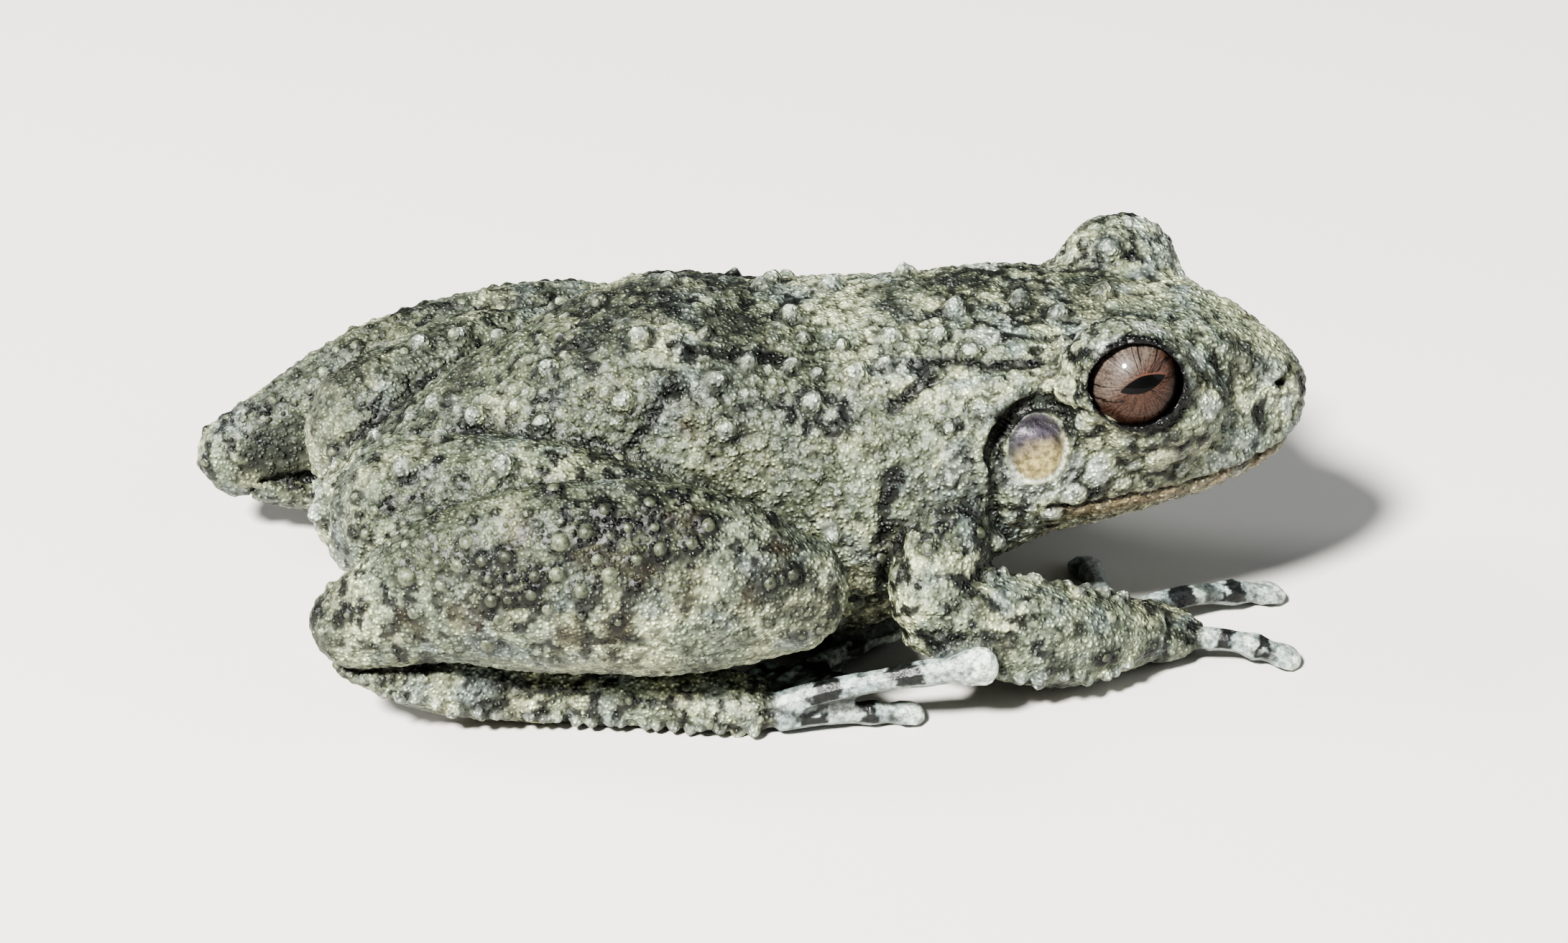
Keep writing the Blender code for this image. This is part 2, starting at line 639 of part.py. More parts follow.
def make_drum(side):
    """Make one ear drum: a low disc set in its pit."""
    axis = facing(DRUM_CENTRE, DRUM_AXIS, side)
    outer = on_side(DRUM_CENTRE, side) + axis * DRUM_STANDS_OUT
    inner = outer - axis * DRUM_THICKNESS
    disc = plug_form(inner, outer, DRUM_RADIUS, DRUM_RADIUS, ROUND_SIDES, DRUM_TAPER)
    return build_mesh(f"tympanum_{side}", *disc)


def limb_forms(side):
    """Return, by node name, a function that draws each limb piece of one side."""
    hind, fore = HIND_LEGS[side], FORE_LEGS[side]
    drawn = {
        "shank": (hind.shank, SHANK_GIRTH, FULL_ROUND),
        "thigh": (hind.thigh, THIGH_GIRTH, FULL_ROUND),
        "tarsus": (hind.tarsus, TARSUS_GIRTH, FULL_ROUND),
        "foot": (hind.foot, FOOT_GIRTH, FOOT_ROUND),
        "upper_arm": (fore.upper_arm, UPPER_ARM_GIRTH, FULL_ROUND),
        "forearm": (fore.forearm, FOREARM_GIRTH, FULL_ROUND),
        "hand": (fore.hand, HAND_GIRTH, HAND_ROUND),
    }
    forms = {
        f"{stem}_{side}": partial(
            tube_form, path, girth, LIMB_RINGS[stem], LIMB_SIDES, roundness=roundness)
        for stem, (path, girth, roundness) in drawn.items()
    }
    for number, toe in enumerate(hind.toes, 1):
        forms[f"toe_{number}_{side}"] = partial(digit_form, toe)
    for number, finger in enumerate(fore.fingers, 1):
        forms[f"finger_{number}_{side}"] = partial(digit_form, finger)
    return forms


def gives_way_to(side):
    """Return, by node name, the pieces that each limb piece is cut clear of."""
    table = {
        "shank": ("body",),
        "thigh": ("body", "shank"),
        "tarsus": ("body", "shank", "thigh"),
        "foot": ("body", "tarsus", "shank", "thigh"),
        "upper_arm": ("body",),
        "forearm": ("body", "upper_arm"),
        "hand": ("body", "forearm"),
    }
    for number in range(1, TOES + 1):
        table[f"toe_{number}"] = ("body", "foot", "forearm", *[f"toe_{n}" for n in range(1, number)])
    for number in range(1, FINGERS + 1):
        table[f"finger_{number}"] = ("body", "hand", "forearm", *[f"finger_{n}" for n in range(1, number)])
    named = {"body": "body"}
    named.update({stem: f"{stem}_{side}" for stem in table})
    return {named[stem]: [named[other] for other in others] for stem, others in table.items()}


def make_limbs(side):
    """Make the legs, feet and digits of one side, each cut clear of what it grows from."""
    forms = limb_forms(side)
    forms["body"] = body_form
    toes = HIND_LEGS[side].toes
    webs = {
        f"toe_{number + 2}_{side}": web_form(toes[number], toes[number + 1], WEB_REACH[number])
        for number in range(len(toes) - 1)
    }
    limbs = []
    for name, others in gives_way_to(side).items():
        limb = build_mesh(name, *forms[name]())
        if name in webs:
            combine(limb, webs[name], "UNION")
        for other in others:
            combine(limb, forms[other](grow=GAP), "DIFFERENCE")
        limbs.append(keep_largest(limb))
    return limbs


def finish_of(name):
    """Return the name of the finish that a node wears."""
    if name.startswith(("toe", "finger")):
        return "digit_skin"
    if name.startswith("tympanum"):
        return "ear_drum"
    if name.startswith("eye"):
        return "eye"
    whole_body = {"torso": "back_skin", "head": "back_skin", "lower_jaw": "belly_skin"}
    return whole_body.get(name, "limb_skin")


def to_metres(pieces):
    """Scale the meshes to metres and centre the frog's foot print on the origin."""
    corners = np.array([tuple(v.co) for piece in pieces for v in piece.data.vertices])
    low, high = corners.min(axis=0), corners.max(axis=0)
    shift = Vector((-(low[0] + high[0]) / 2, -(low[1] + high[1]) / 2, -low[2]))
    for piece in pieces:
        for vertex in piece.data.vertices:
            vertex.co = (vertex.co + shift) * MM


def main():
    """Build every node of the frog."""
    clear_scene()
    pieces = make_body()
    for side in SIDES:
        pieces += [make_eye(side), make_drum(side), *make_limbs(side)]
    to_metres(pieces)
    finishes = {name: make_finish(name) for name in FINISHES}
    for piece in pieces:
        piece.data.materials.append(finishes[finish_of(piece.name)])
        piece.data.shade_smooth()


main()
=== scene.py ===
"""Living looks of the snouted tree frog: one warty skin, two eyes and a plain studio.

Places and sizes are in millimetres in the frog's own frame: x forward from the vent, y to its
left, z up from the floor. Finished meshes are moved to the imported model's frame, in metres.
"""

import logging
import math
from dataclasses import dataclass, field
from enum import Enum

import bmesh
import bpy
import numpy as np
from mathutils import Matrix, Vector, kdtree
from mathutils.bvhtree import BVHTree

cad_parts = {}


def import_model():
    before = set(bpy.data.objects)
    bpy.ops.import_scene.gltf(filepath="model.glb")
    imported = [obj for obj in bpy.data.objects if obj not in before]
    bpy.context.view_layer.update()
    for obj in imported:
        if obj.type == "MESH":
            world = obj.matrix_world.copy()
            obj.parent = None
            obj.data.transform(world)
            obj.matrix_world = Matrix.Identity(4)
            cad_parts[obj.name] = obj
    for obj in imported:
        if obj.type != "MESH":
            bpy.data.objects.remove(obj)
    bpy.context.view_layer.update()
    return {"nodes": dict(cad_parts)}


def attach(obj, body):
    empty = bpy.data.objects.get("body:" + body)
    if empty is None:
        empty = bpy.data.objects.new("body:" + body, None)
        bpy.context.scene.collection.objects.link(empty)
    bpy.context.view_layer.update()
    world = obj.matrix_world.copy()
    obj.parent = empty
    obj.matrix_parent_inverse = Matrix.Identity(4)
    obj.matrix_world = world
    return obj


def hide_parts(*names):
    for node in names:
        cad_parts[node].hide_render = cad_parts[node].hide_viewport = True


log = logging.getLogger("frog")

MM = 0.001
PHOTO_SIZE = (2182, 1312)

# The vent's place, and the sideways bend of the spine: its start, its length and its turn
VENT = np.array((0.55, 0.0, 5.6))
BEND_FROM = 14.0
BEND_LENGTH = 16.0
HEAD_TURN = math.radians(11.0)

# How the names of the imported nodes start, by region
TRUNK = ("head", "lower_jaw", "tympanum", "torso")
LIMBS = ("thigh", "shank", "tarsus", "foot", "upper_arm", "forearm", "hand")
MARKED_LIMBS = ("thigh", "shank", "tarsus", "foot", "upper_arm", "forearm")
LEG = ("thigh", "shank", "tarsus", "foot", "toe")
ARM = ("upper_arm", "forearm", "hand", "finger")
DIGITS = ("toe", "finger")
PLAIN_DIGITS = ("finger_1", "finger_2")


class Side(Enum):
    """A side of the frog, and the sign of y there."""

    RIGHT = -1.0
    LEFT = 1.0

    @property
    def letter(self) -> str:
        """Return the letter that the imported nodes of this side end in."""
        return self.name[0].lower()


class Mark(Enum):
    """A kind of marking whose places are listed."""

    DARK_BEAD = "dark bead"
    BEAD = "bead"
    MOUND = "mound"
    STAR = "star"
    SPOT = "spot"
    PATCH = "patch"
    PALE = "pale"
    PAD = "pad"


class Tone(Enum):
    """A colour of the skin, as red, green and blue from 0 to 255 on a screen; the darkest ones also paint
    shade, the palest grey also paints highlights and the warm brown one is a painted reflection.
    """

    GREY_GREEN = (130, 140, 119)
    CREAM = (178, 184, 152)
    GREY = (122, 134, 134)
    OLIVE = (78, 84, 66)
    BROWN = (52, 44, 28)
    DARK = (30, 34, 31)
    BLACK = (7, 8, 10)
    WART = (184, 194, 184)
    BEAD = (94, 100, 82)
    WHITE = (176, 184, 175)
    DISC = (140, 149, 143)
    BELLY = (190, 186, 164)
    # Painted reflection: warm light thrown up onto the lower lip
    TAN = (146, 130, 102)
    BRONZE = (126, 116, 80)
    VIOLET = (58, 53, 62)

    @property
    def light(self) -> np.ndarray:
        """Return the colour as linear light."""
        values = np.array(self.value) / 255
        return np.where(values <= 0.04045, values / 12.92, ((values + 0.055) / 1.055) ** 2.4)

    def over(self, points: np.ndarray) -> np.ndarray:
        """Return the colour once for each point."""
        return np.tile(self.light, (len(points), 1))


def ease(low: float, high: float, values: np.ndarray) -> np.ndarray:
    """Return a smooth step from 0 at low to 1 at high."""
    t = np.clip((np.asarray(values) - low) / (high - low), 0.0, 1.0)
    return t * t * (3 - 2 * t)


def hill(distance: np.ndarray, centre: float, width: float) -> np.ndarray:
    """Return a rounded hill that is 1 at a distance and fades over a width."""
    return np.exp(-(((distance - centre) / width) ** 2))


def blend_to(colours: np.ndarray, tone: Tone, share: np.ndarray) -> np.ndarray:
    """Return colours moved towards one tone by a share for each point."""
    return colours + (tone.light - colours) * np.clip(share, 0.0, 1.0)[:, None]


def add_object(name: str, data: bpy.types.ID) -> bpy.types.Object:
    """Return a new object in the scene that holds a mesh, a light or a camera."""
    thing = bpy.data.objects.new(name, data)
    bpy.context.scene.collection.objects.link(thing)
    return thing


@dataclass
class FrogFrame:
    """Moves places between the frog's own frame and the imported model's.

    Attributes:
        shift: what is added to a place in the frog's frame before it is scaled to metres.
    """

    shift: np.ndarray

    @classmethod
    def from_torso(cls, torso: bpy.types.Object) -> "FrogFrame":
        """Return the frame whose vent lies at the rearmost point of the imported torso."""
        co = np.array([tuple(v.co) for v in torso.data.vertices]) / MM
        return cls(co[co[:, 0].argmin()] - VENT)

    def to_model(self, points: np.ndarray) -> np.ndarray:
        """Return places of the frog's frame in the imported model's, in metres."""
        return (np.asarray(points, float) + self.shift) * MM

    def to_frog(self, points: np.ndarray) -> np.ndarray:
        """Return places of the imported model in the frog's frame, in millimetres."""
        return np.asarray(points, float) / MM - self.shift

    @staticmethod
    def bent(point: tuple[float, float, float]) -> np.ndarray:
        """Carry a place on the straight body onto the sideways bend of the spine.

        Args:
            point: a place on the straight body.

        Returns:
            The same place on the bent body.
        """
        x, y, z = point
        radius = BEND_LENGTH / HEAD_TURN
        angle = HEAD_TURN * min(max(x - BEND_FROM, 0.0), BEND_LENGTH) / BEND_LENGTH
        beyond = max(x - BEND_FROM - BEND_LENGTH, 0.0)
        if x <= BEND_FROM:
            return np.array((x, y, z))
        reach = radius + y
        return np.array((
            BEND_FROM + reach * math.sin(angle) + beyond * math.cos(angle),
            reach * math.cos(angle) - radius - beyond * math.sin(angle),
            z,
        ))

    @staticmethod
    def straight(points: np.ndarray) -> np.ndarray:
        """Carry places on the bent body back to the straight one.

        Args:
            points: places on the bent body, one row each.

        Returns:
            The same places on the straight body.
        """
        radius = BEND_LENGTH / HEAD_TURN
        x, y = points[:, 0] - BEND_FROM, points[:, 1] + radius
        angle = np.arctan2(x, y)
        found = points.copy()
        on_arc = (x > 0) & (angle <= HEAD_TURN)
        found[on_arc, 0] = BEND_FROM + radius * angle[on_arc]
        found[on_arc, 1] = np.hypot(x, y)[on_arc] - radius
        past = (x > 0) & (angle > HEAD_TURN)
        sine, cosine = math.sin(HEAD_TURN), math.cos(HEAD_TURN)
        found[past, 0] = BEND_FROM + BEND_LENGTH + (x * cosine - y * sine)[past]
        found[past, 1] = (x * sine + y * cosine)[past] - radius
        return found


class Noise:
    """Seeded random fields over places in space."""

    @staticmethod
    def _scatter(cells: np.ndarray, seed: int) -> np.ndarray:
        """Return a number from 0 to 1 for each whole cell.

        Args:
            cells: the cells, as rows of three whole numbers.
            seed: number that picks the pattern.

        Returns:
            One number for each cell.
        """
        cells = cells.astype(np.int64)
        mixed = cells[:, 0] * 73856093 ^ cells[:, 1] * 19349663 ^ cells[:, 2] * 83492791
        mixed = (mixed + seed * 2654435761) & 0xFFFFFFFF
        mixed = ((mixed ^ (mixed >> 15)) * 2246822519) & 0xFFFFFFFF
        mixed = ((mixed ^ (mixed >> 13)) * 3266489917) & 0xFFFFFFFF
        return ((mixed ^ (mixed >> 16)) & 0xFFFFFF) / 0xFFFFFF

    @classmethod
    def cloud(cls, points: np.ndarray, size: float, seed: int, octaves: int = 3) -> np.ndarray:
        """Return soft clouds from 0 to 1.

        Args:
            points: places, one row each.
            size: width of the largest clouds.
            seed: number that picks the pattern.
            octaves: how many finer layers are added up.

        Returns:
            One value for each place.
        """
        total = np.zeros(len(points))
        weight = 0.0
        for octave in range(octaves):
            share = 0.5**octave
            scaled = points * (2**octave / size) + 100
            cell = np.floor(scaled)
            part = scaled - cell
            part = part * part * (3 - 2 * part)
            for corner in np.ndindex(2, 2, 2):
                near = np.where(corner, part, 1 - part).prod(axis=1)
                total += share * near * cls._scatter(cell + corner, seed + octave)
            weight += share
        return total / weight

    @classmethod
    def grains(cls, points: np.ndarray, width: float, seed: int) -> np.ndarray:
        """Return rounded grains.

        Args:
            points: places, one row each.
            width: width of the cells that hold one grain each.
            seed: number that picks the pattern.

        Returns:
            For each place 1 at the middle of a grain, falling to 0 between the grains.
        """
        scaled = points / width + 100
        cell = np.floor(scaled)
        nearest = np.full(len(points), 9.0)
        for corner in np.ndindex(3, 3, 3):
            home = cell + np.array(corner) - 1
            jitter = np.stack([cls._scatter(home, seed + axis) for axis in range(3)], axis=1)
            distance = np.linalg.norm(home + 0.15 + 0.7 * jitter - scaled, axis=1)
            nearest = np.minimum(nearest, distance)
        return np.clip(1 - (nearest * 1.35) ** 2, 0, 1)


class Pattern(Enum):
    """A random field by its use: the width of its largest clouds, its seed and its layers."""

    LUMPS = (3.2, 5, 2)
    COARSE = (3.0, 31, 2)
    WART_PATCHES = (5.0, 41, 2)
    BEAD_PATCHES = (4.0, 43, 2)
    RING_EDGE = (0.5, 45, 3)
    CREAM = (1.6, 51, 3)
    GREY = (1.3, 52, 3)
    BLOTCH = (4.6, 53, 4)
    GAPS = (1.6, 55, 3)
    SHADOW = (3.4, 56, 2)
    FLECK = (0.5, 57, 3)
    RUMP = (2.4, 58, 3)
    MARK_EDGE = (0.6, 61, 4)
    DIGIT_GREY = (0.8, 71, 3)
    BAND_EDGE = (0.4, 72, 3)
    BAND_SHIFT = (1.0, 73, 3)
    DIGIT_FLECK = (0.8, 74, 3)
    BAND_GAPS = (0.45, 75, 3)
    DRUM = (0.8, 81, 3)
    PAD_CRACK = (0.9, 83, 3)
    PAD_EDGE = (0.8, 84, 3)
    LIDS = (1.6, 85, 3)
    LASHES = (0.6, 86, 3)
    LIP = (0.9, 87, 3)
    PAD_TONE = (0.9, 88, 3)
    STROKE_EDGE = (0.7, 91, 3)

    def at(self, points: np.ndarray) -> np.ndarray:
        """Return the field's values, from 0 to 1, at places."""
        return Noise.cloud(points, *self.value)


@dataclass
class PhotoView:
    """The view that the photograph was taken from, in the frog's frame.

    Attributes:
        yaw: turn of the view to the frog's front, in degrees.
        elevation: height of the view above the floor, in degrees.
        distance: from the camera to the target, in millimetres.
        scale: photo pixels to a millimetre at the target.
        target: the place at the middle of the picture.
    """

    yaw: float = 9.0
    elevation: float = 27.0
    distance: float = 160.0
    scale: float = 33.4
    target: tuple[float, float, float] = (20.2, 0.0, 6.1)

    def axes(self) -> tuple[np.ndarray, np.ndarray, np.ndarray]:
        """Return the directions to the right, up and into the picture.

        Returns:
            The three directions, of length 1.
        """
        yaw, elevation = math.radians(self.yaw), math.radians(self.elevation)
        level = np.array((math.sin(yaw), math.cos(yaw), 0.0))
        upright = np.array((0.0, 0.0, 1.0))
        into = level * math.cos(elevation) - upright * math.sin(elevation)
        upward = level * math.sin(elevation) + upright * math.cos(elevation)
        return np.array((math.cos(yaw), -math.sin(yaw), 0.0)), upward, into

    def position(self) -> np.ndarray:
        """Return where the camera stands."""
        return np.array(self.target) - self.axes()[2] * self.distance

    def ray(self, pixel: tuple[float, float]) -> np.ndarray:
        """Return the direction of the ray through a pixel of the photograph.

        Args:
            pixel: how far across and down the pixel lies.

        Returns:
            The direction, of length 1.
        """
        right, upward, into = self.axes()
        reach = self.scale * self.distance
        across = (pixel[0] - PHOTO_SIZE[0] / 2) / reach
        down = (pixel[1] - PHOTO_SIZE[1] / 2) / reach
        ray = into + right * across - upward * down
        return ray / np.linalg.norm(ray)


@dataclass
class Surface:
    """A closed skin of even quads, in the frog's frame.

    Attributes:
        points: the vertices.
        quads: the faces, as rows of four vertices.
        edges: the edges, as rows of two vertices.
    """

    points: np.ndarray
    quads: np.ndarray
    edges: np.ndarray

    def around(self, values: np.ndarray) -> np.ndarray:
        """Return the mean of each vertex's neighbours.

        Args:
            values: one value or one row for each vertex.

        Returns:
            The means, laid out like the values.
        """
        first, second = self.edges[:, 0], self.edges[:, 1]
        count = np.bincount(self.edges.ravel(), minlength=len(self.points))
        columns = values.reshape(len(values), -1)
        total = np.empty_like(columns)
        for index in range(columns.shape[1]):
            column = columns[:, index]
            total[:, index] = np.bincount(first, column[second], minlength=len(column))
            total[:, index] += np.bincount(second, column[first], minlength=len(column))
        return (total / np.maximum(count, 1)[:, None]).reshape(values.shape)

    def relax(self, times: int, share: np.ndarray | float = 1.0, keep_size: bool = True) -> None:
        """Smooth the skin.

        Args:
            times: how many passes are made.
            share: how strongly each vertex is smoothed, from 0 to 1.
            keep_size: whether each pass is followed by one that swells the skin back.
        """
        share = np.broadcast_to(share, len(self.points))[:, None]
        for _ in range(times):
            self.points = self.points + (self.around(self.points) - self.points) * share * 0.5
            if keep_size:
                self.points = self.points - (self.around(self.points) - self.points) * share * 0.53

    def soften(self, values: np.ndarray, times: int) -> np.ndarray:
        """Return values that are spread over the neighbours a number of times.

        Args:
            values: one value or one row for each vertex.
            times: how often they are spread.

        Returns:
            The softer values.
        """
        for _ in range(times):
            values = (values + self.around(values)) / 2
        return values

    def normals(self) -> np.ndarray:
        """Return the outward direction at each vertex.

        Returns:
            One direction of length 1 for each vertex.
        """
        corners = self.points[self.quads]
        faces = np.cross(corners[:, 2] - corners[:, 0], corners[:, 3] - corners[:, 1])
        total = np.zeros_like(self.points)
        for corner in range(4):
            for axis in range(3):
                total[:, axis] += np.bincount(
                    self.quads[:, corner], faces[:, axis], minlength=len(self.points))
        return total / np.maximum(np.linalg.norm(total, axis=1, keepdims=True), 1e-12)

    def raise_by(self, heights: np.ndarray) -> None:
        """Move each vertex outwards by its height."""
        self.points = self.points + self.normals() * heights[:, None]


@dataclass
class HeadSpot:
    """A round place on the side of the head, given on the left of the straight body.

    Attributes:
        centre: the middle of the place.
        axis: the direction that it faces.
        wide: half its width along the head.
        high: half its height.
    """

    centre: tuple[float, float, float]
    axis: tuple[float, float, float]
    wide: float
    high: float

    def measure(self, body: np.ndarray) -> tuple[np.ndarray, np.ndarray, np.ndarray]:
        """Return how far points lie from the place.

        Args:
            body: points on the straight body; both sides are measured as the left.

        Returns:
            The distance from the axis as a share of the place's size, the way along the
            axis in millimetres, and the angle round it, 0 to the front and 90 upwards.
        """
        axis = np.array(self.axis) / np.linalg.norm(self.axis)
        forward = np.cross(axis, (0.0, 0.0, 1.0))
        forward /= np.linalg.norm(forward)
        upward = np.cross(forward, axis)
        mirrored = np.column_stack([body[:, 0], np.abs(body[:, 1]), body[:, 2]])
        offset = mirrored - np.array(self.centre)
        across, rise = offset @ forward / self.wide, offset @ upward / self.high
        return np.hypot(across, rise), offset @ axis, np.degrees(np.arctan2(rise, across))


EYE = HeadSpot(centre=(34.2, 5.05, 12.98), axis=(0.02, 0.97, 0.24), wide=1.85, high=1.65)
DRUM = HeadSpot(centre=(30.4, 6.75, 10.45), axis=(-0.12, 0.98, 0.10), wide=1.22, high=1.42)
NOSTRIL = HeadSpot(centre=(40.4, 1.7, 11.2), axis=(0.25, 0.9, 0.35), wide=0.26, high=0.2)
MOUTH_LINE = ((30.9, 7.9), (33.0, 7.95), (36.0, 8.05), (38.5, 8.2), (40.2, 8.5), (43.0, 9.3))

# Marks on the near side: kind, width in mm, photo pixels across and down
NEAR_MARKS = (
    (Mark.DARK_BEAD, 0.62, ((673, 781), (701, 775), (681, 805), (710, 802), (684, 835), (707, 834),
                            (739, 827), (744, 800), (842, 709), (816, 741), (851, 746), (905, 700),
                            (876, 733), (911, 735), (920, 766), (963, 758), (983, 731), (1103, 798),
                            (1070, 812), (951, 686), (770, 680), (1225, 775), (1362, 742))),
    (Mark.BEAD, 0.68, ((779, 754), (615, 817), (637, 789), (610, 784), (566, 804), (808, 823),
                       (776, 800), (848, 801), (765, 848), (678, 896), (830, 778), (888, 778),
                       (1245, 800), (1290, 760), (1360, 838), (575, 855), (693, 862), (650, 754))),
    (Mark.MOUND, 1.15, ((662, 582), (757, 593), (765, 515), (608, 564), (562, 653), (613, 613),
                        (933, 535), (995, 531), (1157, 398), (1260, 383), (1240, 470), (1190, 520),
                        (1472, 435), (1544, 349), (1533, 407), (640, 470), (585, 480), (720, 430),
                        (830, 420), (1100, 440), (1330, 430), (1420, 420), (700, 650), (890, 470),
                        (930, 395), (1060, 400), (1010, 600), (1130, 560), (1385, 752), (1410, 770))),
    (Mark.STAR, 1.5, ((721, 743), (830, 783), (888, 783), (962, 720), (1083, 766), (1043, 830),
                      (960, 812), (575, 862), (645, 858), (795, 885), (860, 878), (950, 590))),
    (Mark.SPOT, 0.8, ((542, 697), (933, 537), (995, 533), (862, 640), (1238, 692), (1235, 738),
                      (491, 742), (1250, 660), (960, 500), (1060, 490), (520, 640), (610, 640))),
    (Mark.SPOT, 0.55, ((1517, 604), (1578, 624), (1492, 664), (1386, 505), (1437, 505), (1480, 600),
                       (1640, 625), (1560, 640), (1600, 672), (1632, 372), (1626, 398))),
    (Mark.SPOT, 1.1, ((1674, 612), (1748, 577), (1811, 533))),
    (Mark.PATCH, 1.9, ((1721, 503), (1430, 402), (1500, 425), (1540, 392), (1350, 395), (1240, 400),
                       (640, 520), (560, 560), (1700, 540))),
    (Mark.PATCH, 3.2, ((900, 430), (1010, 455), (830, 470), (380, 620), (480, 520), (1130, 850))),
    (Mark.PALE, 1.3, ((1367, 348), (440, 700), (1600, 455), (1658, 497), (1684, 567), (1540, 480))),
    (Mark.PALE, 0.9, ((1718, 608), (1790, 560), (1700, 640))),
    (Mark.PAD, 1.75, ((1613, 638), (1530, 650))),
    (Mark.PAD, 1.05, ((1556, 609), (1512, 586), (1495, 690), (1462, 716))),
    (Mark.PAD, 0.7, ((1578, 648), (1499, 640), (1522, 616), (1645, 652), (1562, 672), (1430, 738),
                     (1545, 583), (1400, 760), (1418, 778))),
)

# How painted marks look: tone, strength, and where the edge starts and ends as shares of the width
PAINTS = {
    Mark.SPOT: (Tone.BLACK, 0.9, 0.6, 0.4),
    Mark.PATCH: (Tone.DARK, 0.75, 0.75, 0.2),
    Mark.PALE: (Tone.WART, 0.75, 0.7, 0.2),
    Mark.STAR: (Tone.BROWN, 0.85, 0.7, 0.05),
}


@dataclass(frozen=True)
class Stroke:
    """A dark line on the near side of the trunk or head, sunk as a fold: partly painted shade in the fold,
    partly the skin's own dark line.

    Attributes:
        pixels: the photo pixels that it runs through.
        width: its width in millimetres.
        depth: how deep it is sunk.
    """

    pixels: tuple[tuple[float, float], ...]
    width: float
    depth: float = 0.0


STROKES = (
    Stroke(((1276, 509), (1330, 503), (1378, 508)), 0.75, 0.12),
    Stroke(((1388, 508), (1440, 506), (1506, 490)), 0.55, 0.08),
    Stroke(((1240, 570), (1268, 545), (1292, 524)), 0.7, 0.1),
    Stroke(((862, 640), (890, 608), (927, 546)), 0.6, 0.15),
    Stroke(((1398, 588), (1382, 620), (1380, 680), (1388, 740)), 0.75, 0.4),
    Stroke(((1240, 660), (1232, 700), (1228, 750)), 0.8, 0.15),
    Stroke(((930, 480), (1000, 492), (1090, 500)), 0.7, 0.05),
    Stroke(((1572, 318), (1580, 350), (1577, 388)), 0.4, 0.1),
    Stroke(((1390, 372), (1450, 366), (1520, 374)), 0.45, 0.05),
    Stroke(((1390, 600), (1420, 572), (1465, 562), (1500, 575)), 0.45, 0.2),
)

# Rows of pale tubercles along the limbs' edges: a path inside the limb, and the way to its edge
TUBERCLE_ROWS = (
    (((2.0, -8.1, 3.4), (5.2, -8.1, 2.0), (9.6, -8.3, 1.4), (14.0, -9.1, 1.2), (17.4, -9.9, 1.0)),
     (-0.1, -0.85, -0.5)),
    (((25.0, -9.3, 4.0), (29.4, -9.5, 2.8), (33.0, -8.4, 1.9)), (0.15, -0.8, -0.6)),
    (((26.0, -9.4, 4.0), (29.4, -9.5, 2.8), (32.6, -8.4, 1.9)), (0.4, 0.1, 0.9)),
    (((-2.3, 9.0, 3.4), (2.0, 9.2, 2.3), (7.0, 9.6, 1.4), (11.4, 10.4, 1.3), (14.8, 11.0, 1.0)),
     (-0.1, 0.85, -0.5)),
    (((24.2, 9.2, 3.8), (26.2, 9.7, 2.9), (28.4, 9.9, 2.1)), (0.15, 0.8, -0.6)),
)


